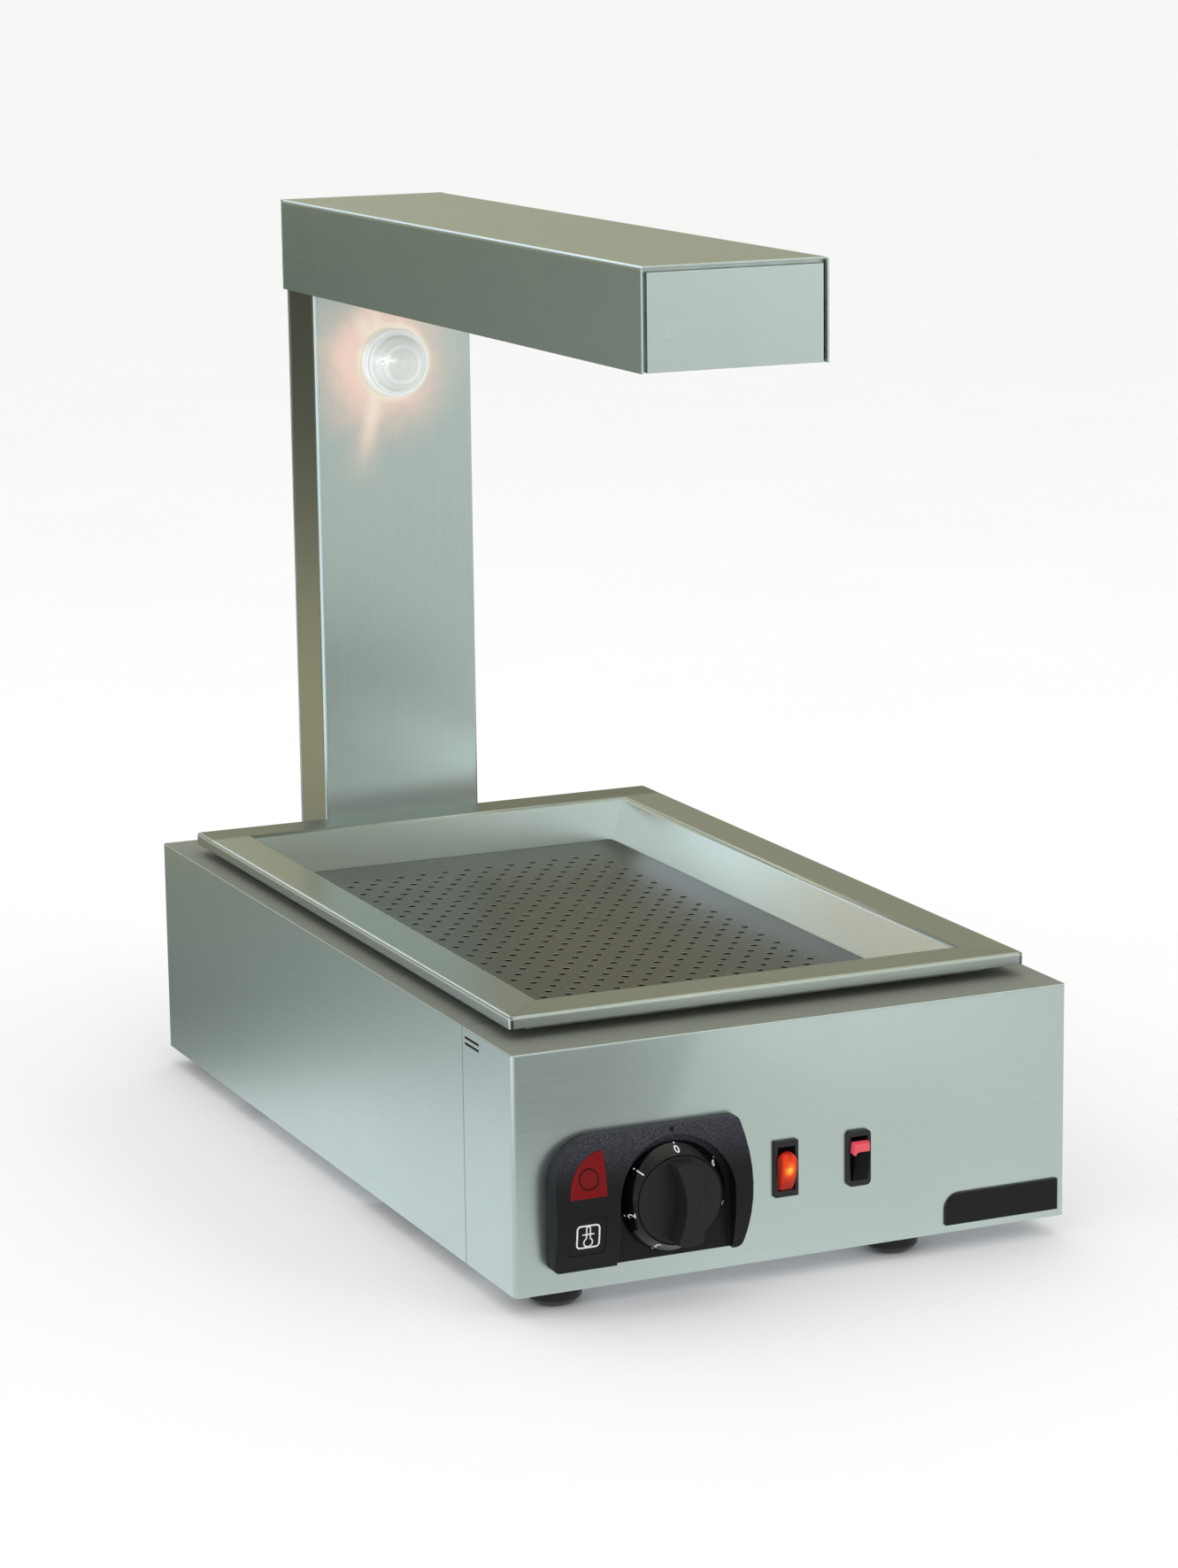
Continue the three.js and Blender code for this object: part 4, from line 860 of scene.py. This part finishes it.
def drain_plate():
    """Perforated plate: a cell round each hole, plain borders, and the folded legs below."""
    low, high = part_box("drain_plate")
    top = high.z
    vertices, faces = [], []

    def face(corners):
        start = len(vertices)
        vertices.extend((x, y, top) for x, y in corners)
        faces.append(tuple(range(start, start + len(corners))))

    last = at(0, LAST_ROW, 0).y
    first = last - (ROW_COUNT - 1) * HOLE_PITCH_Y
    half_x, half_y = HOLE_PITCH_X / 2, HOLE_PITCH_Y / 2
    side = (HOLES_ACROSS + 0.5) * HOLE_PITCH_X
    turns = [tau * i / HOLE_CORNERS + radians(-45) for i in range(HOLE_CORNERS)]
    for row in range(ROW_COUNT):
        y = first + row * HOLE_PITCH_Y
        shifted = row % 2
        count = 2 * HOLES_ACROSS + 1 - shifted
        for k in range(count):
            x = (k - (count - 1) / 2) * HOLE_PITCH_X
            cell = [(x + u * half_x, y + v * half_y) for u, v in CELL_POINTS]
            rim = [(x + HOLE_RADIUS * cos(turn), y + HOLE_RADIUS * sin(turn)) for turn in turns]
            # Each quarter of the rim has four points, and faces three of the cell's
            for quarter in range(4):
                a, b, c = (cell[(2 * quarter + i) % 8] for i in range(3))
                r = [rim[(3 * quarter + i) % HOLE_CORNERS] for i in range(4)]
                face((a, b, r[1], r[0]))
                face((b, r[2], r[1]))
                face((b, c, r[3], r[2]))
        if shifted:
            for x0, x1 in ((-side, -side + half_x), (side - half_x, side)):
                face(((x0, y - half_y), (x1, y - half_y), (x1, y), (x1, y + half_y),
                      (x0, y + half_y), (x0, y)))
    y0, y1 = first - half_y, last + half_y
    rows = [y0 + i * half_y for i in range(2 * ROW_COUNT + 1)]
    for outer, inner in ((low.x, -side), (high.x, side)):
        face([(outer, y0), *((inner, y) for y in rows), (outer, y1)])
    columns = [-side + i * half_x for i in range(2 * (2 * HOLES_ACROSS + 1) + 1)]
    for outer, inner in ((low.y, y0), (high.y, y1)):
        face([(low.x, outer), (low.x, inner), *((x, inner) for x in columns), (high.x, inner),
              (high.x, outer)])

    mesh = bpy.data.meshes.new("drain plate sheet")
    mesh.from_pydata(vertices, [], faces)
    work = bmesh.new()
    work.from_mesh(mesh)
    bmesh.ops.remove_doubles(work, verts=work.verts, dist=1e-6)
    for item in work.faces:
        item.normal_update()
        if item.normal.z < 0:
            item.normal_flip()
    grown = bmesh.ops.extrude_face_region(work, geom=list(work.faces))
    moved = [g for g in grown["geom"] if isinstance(g, bmesh.types.BMVert)]
    bmesh.ops.translate(work, verts=moved, vec=(0, 0, -PLATE_THICK))
    for leg_y in (low.y + LEG_INSET, high.y - LEG_INSET - PLATE_THICK):
        corners = [
            work.verts.new((x, y, z)) for z in (low.z, top - PLATE_THICK * 0.5)
            for y in (leg_y, leg_y + PLATE_THICK) for x in (-LEG_HALF, LEG_HALF)]
        for loop in BOX_FACES:
            work.faces.new([corners[i] for i in loop])
    bmesh.ops.recalc_face_normals(work, faces=work.faces)
    work.to_mesh(mesh)
    work.free()
    mesh.materials.append(drain_steel)
    plate = new_object("drain_plate_sheet", mesh)
    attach(plate, "plate")
    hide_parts("drain_plate")


drain_plate()

# ---------------------------------------------------------------- feet

FOOT_RADIUS = 0.016
FOOT_TOP = 0.0117
FOOT_CHAMFER = 0.003
FOOT_RECESS = 0.006
SCREW_BORE = 0.0028
HEAD_BORE = 0.0051

for end in FOOT_ENDS:
    centre = middle_of(f"foot_{end}")
    centre.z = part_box(f"foot_{end}")[0].z
    profile = rounded_profile([
        (SCREW_BORE, FOOT_RECESS), (HEAD_BORE, FOOT_RECESS), (HEAD_BORE, 0.0),
        (FOOT_RADIUS - 1.5 * FOOT_CHAMFER, 0.0), (FOOT_RADIUS, FOOT_CHAMFER * 1.4),
        (FOOT_RADIUS, FOOT_TOP), (SCREW_BORE, FOOT_TOP), (SCREW_BORE, FOOT_RECESS)], 0.0008)
    piece = turned(f"rubber_foot_{end}", profile, centre, "Z", foot_rubber, slot="black_rubber")
    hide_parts(f"foot_{end}")

# ---------------------------------------------------------------- control knob

KNOB = at(KNOB_X, 0.0, 0.049)
DIAL_BACK = -0.0056
DIAL_RIM = -0.0072
DIAL_RADIUS = 0.032
DIAL_FRONT = -0.0158
DIAL_TOP_RADIUS = 0.0263
DIAL_WALL = 0.002
DISC_RADIUS = 0.0253
DISC_FRONT = -0.0164
DISC_BACK = -0.0128
GRIP_FRONT = -0.0293
HUB_RADIUS = 0.007
FIT = 0.0003
STEP_COUNT = 7
INK = 0.00006
NUMBER_SIZE = 0.00756
NUMBER_SQUEEZE = 0.8
NUMBER_PLACE = 0.0044
MARK_HALF, MARK_HEIGHT, MARK_PLACE = 0.00042, 0.00055, 0.0091


def knob_dial():
    """Glossy skirt with a pocket in front for the grip's disc."""
    bore, pocket = HUB_RADIUS + FIT, DISC_BACK + FIT
    corners = [
        (bore, DIAL_BACK), (bore + DIAL_WALL, DIAL_BACK), (bore + DIAL_WALL, pocket + DIAL_WALL),
        (DIAL_TOP_RADIUS - DIAL_WALL, pocket + DIAL_WALL), (DIAL_RADIUS - DIAL_WALL, DIAL_BACK),
        (DIAL_RADIUS, DIAL_BACK), (DIAL_RADIUS, DIAL_RIM), (DIAL_TOP_RADIUS, DIAL_FRONT),
        (DISC_RADIUS + FIT, DIAL_FRONT), (DISC_RADIUS + FIT, pocket), (bore, pocket),
        (bore, DIAL_BACK)]
    dial = turned(
        "dial_ring", rounded_profile(corners, 0.0007), KNOB, "Y", gloss_plastic, steps=160,
        body="knob", slot="gloss_black")
    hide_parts("knob_dial")


def on_dial(across, outward, turn):
    """Point on the dial's cone; outward runs from its inner to its outer edge."""
    depth_run, radius_run = DIAL_RIM - DIAL_FRONT, DIAL_RADIUS - DIAL_TOP_RADIUS
    share = outward / hypot(radius_run, depth_run)
    radius = DIAL_TOP_RADIUS + radius_run * share
    depth = DIAL_FRONT + depth_run * share
    angle = turn - across / radius
    lift = Vector((depth_run, radius_run)).normalized() * INK
    radius += lift.x
    return KNOB + Vector((-radius * sin(angle), depth - lift.y, radius * cos(angle)))


def number_outline(number):
    """Flat points and faces of a number, centred."""
    curve = bpy.data.curves.new(f"number {number}", "FONT")
    curve.body = str(number)
    curve.size = NUMBER_SIZE
    curve.align_x = "CENTER"
    curve.offset = 0.00014
    text = new_object(f"number {number}", curve)
    bpy.context.view_layer.update()
    flat = bpy.data.meshes.new_from_object(text)
    bpy.data.objects.remove(text)
    bpy.data.curves.remove(curve)
    work = bmesh.new()
    work.from_mesh(flat)
    bmesh.ops.triangulate(work, faces=work.faces)
    xs, ys = [v.co.x for v in work.verts], [v.co.y for v in work.verts]
    middle_x, middle_y = (min(xs) + max(xs)) / 2, (min(ys) + max(ys)) / 2
    points = [(x - middle_x, y - middle_y) for x, y in zip(xs, ys)]
    loops = [tuple(v.index for v in f.verts) for f in work.faces]
    work.free()
    bpy.data.meshes.remove(flat)
    return points, loops


def dial_numbers():
    """White numbers 0 to 6 and a mark outside each, laid on the cone."""
    for number in range(STEP_COUNT):
        turn = tau * number / STEP_COUNT
        outline, loops = number_outline(number)
        points = [on_dial(x * NUMBER_SQUEEZE, NUMBER_PLACE + y, turn) for x, y in outline]
        start = len(points)
        points += [
            on_dial(u * MARK_HALF, MARK_PLACE + v * MARK_HEIGHT, turn)
            for u, v in ((-1, -1), (1, -1), (1, 1), (-1, 1))]
        loops.append((start, start + 1, start + 2, start + 3))
        mesh_piece(
            f"dial_number_{number}", points, loops, white_ink, body="knob", slot="gloss_black")


def arc_points(start, control, stop, steps):
    """Points of a quadratic curve, without its last one."""
    start, control, stop = Vector(start), Vector(control), Vector(stop)
    return [tuple(start.lerp(control, i / steps).lerp(control.lerp(stop, i / steps), i / steps))
            for i in range(steps)]


def knob_grip():
    """Grip disc, and the wing with a hollow left flank."""
    corners = [
        (0.0, DISC_BACK + FIT), (DISC_RADIUS, DISC_BACK + FIT), (DISC_RADIUS, DISC_FRONT),
        (0.0, DISC_FRONT)]
    disc = turned("grip_disc", rounded_profile(corners, 0.0006), KNOB, "Y", grip_plastic,
                  steps=160, body="knob", slot="black_plastic")
    half, right, left, waist = 0.0224, 0.0086, 0.0074, 0.0016
    outline = (
        arc_points((-left, -half), (right / 4, -half * 1.12), (right, -half * 0.94), 10)
        + [(right, -half * 0.94)]
        + arc_points((right, half * 0.94), (right / 4, half * 1.12), (-left, half), 10)
        + arc_points((-left, half), (-2 * waist + left, 0), (-left, -half), 24))
    count = len(outline)
    vertices = [KNOB + Vector((x, y, z)) for y in (GRIP_FRONT, DISC_FRONT + FIT)
                for x, z in outline]
    faces = [tuple(range(count)), tuple(range(2 * count - 1, count - 1, -1))]
    faces += [(i, (i + 1) % count, count + (i + 1) % count, count + i) for i in range(count)]
    wing = mesh_piece(
        "grip_wing", vertices, faces, grip_plastic, body="knob", slot="black_plastic")
    rounded = wing.modifiers.new("edges", "BEVEL")
    rounded.width = 0.0009
    rounded.segments = 3
    rounded.limit_method = "ANGLE"
    rounded.angle_limit = radians(40)
    rounded.harden_normals = True
    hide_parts("knob_grip")
    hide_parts("knob_grip")


knob_dial()
dial_numbers()
knob_grip()

# ---------------------------------------------------------------- bezel's index and sign

BEZEL_BOTTOM = 0.014
BEZEL_HEIGHT = 0.0765
FACE_FOOT, FACE_MIDDLE, FACE_HEAD = 0.009, 0.022, 0.005
SIGN_X, SIGN_Z = -0.1362, 0.0349
SIGN_SINK = 0.00034
SIGN_FILM = 0.00008
INDEX_TOP, INDEX_TIP, INDEX_HALF, INDEX_PROUD = 0.0888, 0.0862, 0.0016, 0.0004


def bezel_face(x, z, proud=0.0):
    """Point on the bezel's curved front."""
    t = (z - BEZEL_BOTTOM) / BEZEL_HEIGHT
    depth = (1 - t) ** 2 * FACE_FOOT + 2 * t * (1 - t) * FACE_MIDDLE + t * t * FACE_HEAD
    return at(x, -depth - proud, z)


def stroke(points, width, closed):
    """Flat band along a line: its two edges' points and its faces."""
    count = len(points)
    left, right = [], []
    for i, point in enumerate(points):
        before = points[i - 1] if closed or i else point
        after = points[(i + 1) % count] if closed or i < count - 1 else point
        way = (Vector(after) - Vector(before)).normalized()
        side = Vector((-way.y, way.x)) * width / 2
        left.append(tuple(Vector(point) + side))
        right.append(tuple(Vector(point) - side))
    faces = [(i, (i + 1) % count, count + (i + 1) % count, count + i)
             for i in range(count if closed else count - 1)]
    return left + right, faces


def rounded_square(half_x, half_z, radius, steps=6):
    points = []
    for corner, (sx, sz) in enumerate(((1, 1), (-1, 1), (-1, -1), (1, -1))):
        for i in range(steps + 1):
            turn = pi / 2 * (corner + i / steps)
            points.append((sx * (half_x - radius) + radius * cos(turn),
                           sz * (half_z - radius) + radius * sin(turn)))
    return points


def long_edges(points, step=0.0012):
    """Adds points so that no edge is longer than step, for bands laid on a curved face."""
    made = []
    for start, stop in zip(points, points[1:] + points[:1]):
        start, stop = Vector(start), Vector(stop)
        count = max(1, ceil((stop - start).length / step))
        made += [tuple(start.lerp(stop, i / count)) for i in range(count)]
    return made


def sign_print():
    """White thermometer in a rounded frame on the sign plate."""
    frame_line = long_edges(rounded_square(0.00675, 0.0065, 0.0021))
    bulb_z, bulb, tube, tube_top = -0.0034, 0.0026, 0.00115, 0.0048
    neck = asin(tube / bulb)
    turns = [neck + (tau - 2 * neck) * i / 28 for i in range(29)]
    outline = [(bulb * sin(turn), bulb_z + bulb * cos(turn)) for turn in turns]
    cap = [(-tube * cos(pi * i / 8), tube_top + tube * sin(pi * i / 8)) for i in range(9)]
    bar = [(-0.0036 + 0.0009 * i, 0.0014) for i in range(9)]
    bands = [(frame_line, 0.00095, True), (long_edges(outline + cap), 0.00072, True),
             (bar, 0.00072, False)]
    points, faces = [], []
    for order, (line, width, closed) in enumerate(bands):
        flat, loops = stroke(line, width, closed)
        start = len(points)
        # Each band lies a little in front of the one before it
        lift = -SIGN_SINK + SIGN_FILM + 0.00001 * order
        points += [bezel_face(SIGN_X + x, SIGN_Z + z, lift) for x, z in flat]
        faces += [tuple(start + i for i in loop) for loop in loops]
    mesh_piece("sign_print", points, faces, white_ink, slot="black_plastic")


def index_mark():
    """Raised pointer above the dial."""
    corners = [(KNOB_X - INDEX_HALF, INDEX_TOP), (KNOB_X + INDEX_HALF, INDEX_TOP),
               (KNOB_X, INDEX_TIP)]
    points = [bezel_face(x, z, proud) for proud in (INDEX_PROUD, -INDEX_PROUD)
              for x, z in corners]
    mesh_piece("index_mark", points, [
        (0, 1, 2), (3, 5, 4), (0, 3, 4, 1), (1, 4, 5, 2), (2, 5, 3, 0)], gloss_plastic,
        slot="black_plastic")


sign_print()
index_mark()

# ---------------------------------------------------------------- rockers

ROCKER_X_LEFT, ROCKER_X_RIGHT, ROCKER_Z = -0.0076, 0.0388, 0.0535
ROCKER_PIVOT = 0.004
ROCKER_TILT = radians(10)
ROCKER_REACH = 0.0112
ROCKER_END, ROCKER_CROWN, ROCKER_CROWN_REACH = 0.008, 0.0096, 0.003
ROCKER_BACK = 0.0045
ROCKER_HALF = 0.0053
ROCKER_EDGE = 0.0009
AMBER_TAPER, AMBER_TIP = 0.0010, 0.0009
LENS_FOOT, LENS_INSET = 0.0046, 0.0002
CAP_TOP, CAP_CORNER, CAP_PROUD = 0.0064, 0.0015, 0.0006
CAP_LEFT, CAP_LEAN = -0.0047, 0.0008


def rocker_front(z):
    """Depth of the rocker's crowned face in front of its pivot."""
    past = max(0.0, abs(z) - ROCKER_CROWN_REACH) / (ROCKER_REACH - ROCKER_CROWN_REACH)
    return ROCKER_CROWN - (ROCKER_CROWN - ROCKER_END) * past ** 1.5


def rocker_piece(name, x, foot, top, steps, sides, material, proud=0.0, **riding):
    """Rocker or a part of it, from foot to top; sides gives its left and right at a height."""
    centre = at(x, ROCKER_PIVOT, ROCKER_Z)
    turn = Matrix.Rotation(ROCKER_TILT, 3, "X")
    vertices, faces = [], []
    for step in range(steps + 1):
        z = foot + (top - foot) * step / steps
        left, right = sides(z)
        front = -rocker_front(z) - proud
        reach = min(ROCKER_EDGE, (right - left) / 2.2)
        arc = [(reach * (1 - cos(pi / 2 * i / 3)), reach * (1 - sin(pi / 2 * i / 3)))
               for i in range(4)]
        line = [(left, -ROCKER_BACK)] + [(left + u, front + v) for u, v in arc]
        line += [(right - u, front + v) for u, v in reversed(arc)] + [(right, -ROCKER_BACK)]
        vertices += [centre + turn @ Vector((across, y, z)) for across, y in line]
    count = len(line)
    for step in range(steps):
        a, b = step * count, (step + 1) * count
        faces += [(a + i, a + i + 1, b + i + 1, b + i) for i in range(count - 1)]
        faces.append((a + count - 1, a, b, b + count - 1))
    faces.append(tuple(range(count)))
    faces.append(tuple(reversed(range(len(vertices) - count, len(vertices)))))
    return mesh_piece(name, vertices, faces, material, smooth=50.0, **riding)


def amber_sides(z):
    """Narrower towards the foot, and round at the top."""
    half = ROCKER_HALF - AMBER_TAPER * max(0.0, -z / ROCKER_REACH)
    past = z - (ROCKER_REACH - ROCKER_HALF)
    if past > 0:
        half = min(half, max(AMBER_TIP, sqrt(max(0.0, ROCKER_HALF ** 2 - past ** 2))))
    return -half, half


def lens_sides(z):
    return -ROCKER_HALF + LENS_INSET, ROCKER_HALF - LENS_INSET


def cap_sides(z):
    """Leaning left side with a rounded corner at the top; straight right side."""
    past = z - (CAP_TOP - CAP_CORNER)
    inward = CAP_CORNER - sqrt(max(0.0, CAP_CORNER ** 2 - past ** 2)) if past > 0 else 0.0
    left = CAP_LEFT + CAP_LEAN * (z + ROCKER_REACH) / (CAP_TOP + ROCKER_REACH)
    return left + inward, ROCKER_HALF


amber = rocker_piece(
    "amber_rocker", ROCKER_X_LEFT, -ROCKER_REACH, ROCKER_REACH, 24, amber_sides, lit_amber,
    body="rocker_left", slot="amber_lens")
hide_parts("switch_rocker_left")
red = rocker_piece(
    "red_rocker_lens", ROCKER_X_RIGHT, LENS_FOOT, ROCKER_REACH, 8, lens_sides, lit_red,
    body="rocker_right", slot="gloss_black")
cap = rocker_piece(
    "rocker_cap", ROCKER_X_RIGHT, -ROCKER_REACH, CAP_TOP, 24, cap_sides, cap_plastic,
    proud=CAP_PROUD, body="rocker_right", slot="gloss_black")
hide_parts("switch_rocker_right")
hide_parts("switch_rocker_right")

# ---------------------------------------------------------------- lamp

LAMP_RADIUS = 0.023
LAMP_DOME = 0.020
LAMP_SKIRT = 0.006
LAMP_BORE = 0.0168
LAMP_WALL = 0.0025
DOME_RADIUS = 0.0192
DOME_FOOT = 0.0082


def lamp_cover():
    """Pressed glass dome with a stepped ring on a round skirt."""
    centre = middle_of("lamp_glass")
    centre.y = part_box("lamp_glass")[1].y
    steps = 14
    turns = [pi / 2 * i / steps for i in range(steps + 1)]
    outer = [(LAMP_RADIUS, 0.0), (LAMP_RADIUS, -LAMP_SKIRT), (0.0213, -LAMP_SKIRT - 0.0014),
             (0.0206, -LAMP_SKIRT - 0.0008), (DOME_RADIUS, -DOME_FOOT)]
    outer += [(DOME_RADIUS * cos(turn), -DOME_FOOT - (LAMP_DOME - DOME_FOOT) * sin(turn))
              for turn in turns[1:-1]]
    outer.append((0.0, -LAMP_DOME))
    rise = LAMP_DOME - LAMP_SKIRT - LAMP_WALL
    inner = [(LAMP_BORE * cos(turn), -LAMP_SKIRT - rise * sin(turn)) for turn in turns[-2::-1]]
    profile = [(0.0, -LAMP_SKIRT - rise), *inner, (LAMP_BORE, 0.0), *outer]
    cover = turned("lamp_cover", profile, centre, "Y", lamp_glass, smooth=50.0, slot="clear_glass")
    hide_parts("lamp_glass")


lamp_cover()

# ---------------------------------------------------------------- floor and light

FLOOR_HALF = 40.0
SEEN_FLOOR_HALF = 12.0
SEEN_FLOOR_DROP = -0.001
ROOM_LIGHT = 1.04
# Softboxes in the room that the steel reflects: azimuth from +Y towards +X, elevation, radius
# and soft edge in degrees, and colour
SOFTBOXES = [
    (-155, 7, 7, 6, (2.3, 2.38, 2.5)),
    (-9, 25, 5, 5, (1.8, 2.05, 2.4)),
    (4, 27, 5, 4, (2.1, 2.35, 2.7)),
    (15, 23, 3, 4, (1.4, 1.35, 1.0)),
]


def floor_material():
    material, tree, shader = new_material("pale floor", roughness=0.9)
    clouds = noise(surface(tree), 3.0, Detail=3.0)
    dress(shader, base_color=blend(clouds, (0.88, 0.88, 0.88), (0.91, 0.91, 0.91)))
    return material


def flat_square(name, half, height, material):
    mesh = bpy.data.meshes.new(name)
    mesh.from_pydata(
        [(-half, -half, height), (half, -half, height), (half, half, height),
         (-half, half, height)], [], [(0, 1, 2, 3)])
    mesh.materials.append(material)
    piece = new_object(name, mesh)
    return piece


def reflected_floor_material():
    """Painted reflection of the floor as the steel sees it: bright in front of the station, dim
    behind it, with painted shadows and shade.
    """
    material = bpy.data.materials.new("reflected floor")
    material.use_nodes = True
    tree = material.node_tree
    tree.nodes.clear()
    x, y, _ = split(surface(tree))
    behind = ramp(y, [
        (-0.31, (1.06, 1.09, 1.12)), (-0.05, (1.03, 1.07, 1.10)), (0.12, (1.00, 1.04, 1.07)),
        (0.25, (0.72, 0.76, 0.76)), (0.42, (0.38, 0.41, 0.39)), (0.85, (0.31, 0.33, 0.29)),
        (1.10, (0.55, 0.48, 0.31)), (1.60, (0.52, 0.46, 0.30)), (2.00, (0.40, 0.38, 0.28)),
        (2.60, (0.15, 0.16, 0.13)), (3.50, (0.095, 0.105, 0.085)), (4.20, (0.10, 0.115, 0.09)),
        (4.70, (0.10, 0.115, 0.09)), (5.50, (0.075, 0.085, 0.068)), (6.50, (0.075, 0.088, 0.073)),
        (10.0, (0.28, 0.31, 0.28))])
    # Painted shadows of the body on the floor near its rear and left side
    body_shadow = span(x, -0.40, -0.20) * span(y, 0.16, 0.32)
    behind = blend(body_shadow * 0.4, behind, (0.1, 0.1, 0.1))
    side_shadow = span(x, -0.28, -0.40) * span(y, 0.45, 0.22)
    behind = blend(side_shadow * 0.28, behind, (0.1, 0.1, 0.1))
    arm_end = distance(x + 2.45, y - 4.10)
    behind = blend(span(arm_end, 0.90, 0.40), behind, (1.05, 1.15, 1.12))
    front = ramp(y, [
        (-4.50, (0.98, 0.98, 0.94)), (-3.00, (0.84, 0.84, 0.80)), (-2.20, (0.80, 0.80, 0.77)),
        (-1.20, (0.92, 0.93, 0.91)), (-0.98, (1.06, 1.07, 1.06)), (-0.84, (1.05, 1.06, 1.06)),
        (-0.72, (0.96, 0.95, 0.92)), (-0.60, (0.93, 0.92, 0.89)), (-0.31, (1.03, 1.03, 1.02))])
    front = blend(span(y, -3.4, -4.2), front, ramp(x, [
        (1.2, (0.28, 0.28, 0.27)), (2.1, (0.88, 0.88, 0.85)), (3.0, (1.70, 1.70, 1.64))]))
    # Lines of one slant follow the photo's view as the front panel mirrors it
    slant = x + (y + 0.95) * 0.44
    glare = (span(slant, 0.20, 0.26) * span(slant, 0.60, 0.38)
             * span(y, -0.70, -0.80) * span(y, -1.15, -1.0))
    front = blend(glare * 0.8, front, (1.62, 1.64, 1.64))
    shaded = (span(slant, 0.245, 0.175) * span(y, -0.52, -0.72)
              * span(y, -1.25, -1.05) * span(slant, -0.5, -0.3))
    depth = span(slant, -0.08, 0.12, 0.50, 0.86)
    front = blend(shaded * depth, front, (0.08, 0.08, 0.08))
    # Painted shade on the floor in front
    near_left = span(slant, 0.26, 0.14) * span(y, -0.80, -0.55)
    front = blend(near_left * 0.13, front, (0.05, 0.05, 0.05))
    patch = distance((x - 0.72) * 1.6, y + 1.25)
    front = blend(span(patch, 0.50, 0.25, 0.0, 0.75), front, (0.15, 0.15, 0.15))
    tone = blend(span(y, -0.36, -0.26), front, behind)
    left_side = span(x, -0.50, -0.70) * span(y, 0.75, 0.55) * span(y, -2.2, -1.6)
    tone = blend(left_side, tone, (1.45, 1.60, 1.80))
    glow = field(tree, "ShaderNodeEmission", {"Color": tone, "Strength": 1.0})
    add_node(tree, "ShaderNodeOutputMaterial", {"Surface": glow})
    return material


def sky_direction(azimuth, elevation):
    a, e = radians(azimuth), radians(elevation)
    return Vector((cos(e) * sin(a), cos(e) * cos(a), sin(e)))


def add_world():
    """Soft even room; the polished faces see a dim warm wall behind and softboxes round it."""
    world = bpy.data.worlds.new("studio")
    scene.world = world
    world.use_nodes = True
    tree = world.node_tree
    tree.nodes.clear()
    direction = surface(tree, "Generated")
    x, y, z = split(direction)
    behind = ramp(z, [
        (0.0, (0.50, 0.47, 0.34)), (0.12, (0.50, 0.45, 0.29)), (0.25, (0.38, 0.36, 0.265)),
        (0.42, (0.42, 0.40, 0.32)), (0.64, (0.78, 0.74, 0.60)), (0.87, (1.05, 0.97, 0.77)),
        (1.0, (1.5, 1.43, 1.2))])
    front = ramp(z, [
        (0.0, (1.25, 1.25, 1.20)), (0.10, (1.00, 1.00, 0.96)), (0.20, (0.62, 0.62, 0.58)),
        (0.55, (0.62, 0.61, 0.57)), (0.80, (1.1, 1.08, 1.0)), (1.0, (1.5, 1.43, 1.2))])
    side = ramp(z, [(0.0, (1.05, 1.06, 1.02)), (1.0, (1.2, 1.18, 1.05))])
    tone = blend(span(y, -0.2, 0.35), front, behind)
    tone = blend(span(x, -0.55, -0.85), tone, side)
    for azimuth, elevation, radius, soft, color in SOFTBOXES:
        near = vector_maths(
            "DOT_PRODUCT", direction, sky_direction(azimuth, elevation), "Value")
        inside = span(near, cos(radians(radius + soft)), cos(radians(radius)))
        tone = blend(inside, tone, color)
    seen = field(tree, "ShaderNodeBackground", {"Color": tone, "Strength": 1.0})
    even = field(tree, "ShaderNodeBackground", {"Color": (1, 1, 1), "Strength": ROOM_LIGHT})
    glossy = field(tree, "ShaderNodeLightPath", output="Is Glossy Ray")
    mixed = field(tree, "ShaderNodeMixShader", {0: glossy, 1: even, 2: seen})
    add_node(tree, "ShaderNodeOutputWorld", {"Surface": mixed})


def add_softbox(name, place, aim, size, power, color=(1, 1, 1)):
    data = bpy.data.lights.new(name, "AREA")
    data.shape = "RECTANGLE"
    data.size, data.size_y = size
    data.energy = power
    data.color = color
    lamp = new_object(name, data)
    lamp.location = place
    lamp.rotation_euler = (Vector(aim) - Vector(place)).to_track_quat("-Z", "Y").to_euler()


add_camera()
add_world()
# The camera and the even light see the plain floor; the steel sees the one just under it
floor = flat_square("floor", FLOOR_HALF, 0.0, floor_material())
floor.visible_glossy = False
seen_floor = flat_square(
    "reflected_floor", SEEN_FLOOR_HALF, SEEN_FLOOR_DROP, reflected_floor_material())
seen_floor.visible_camera = False
seen_floor.visible_diffuse = False
seen_floor.visible_transmission = False
seen_floor.visible_shadow = False
add_softbox("key softbox", (1.3, -2.4, 1.9), (0, 0, 0.2), (0.9, 0.6), 4.5, (0.93, 0.95, 1.0))
add_softbox("top softbox", (0.0, 0.4, 2.6), (0, 0, 0.2), (2.0, 2.0), 8.0)
add_softbox("left strip", (-3.45, -0.5, 0.62), (-0.1, -0.32, 0.07), (0.3, 0.3), 5.0)
scene.view_settings.view_transform = "Standard"
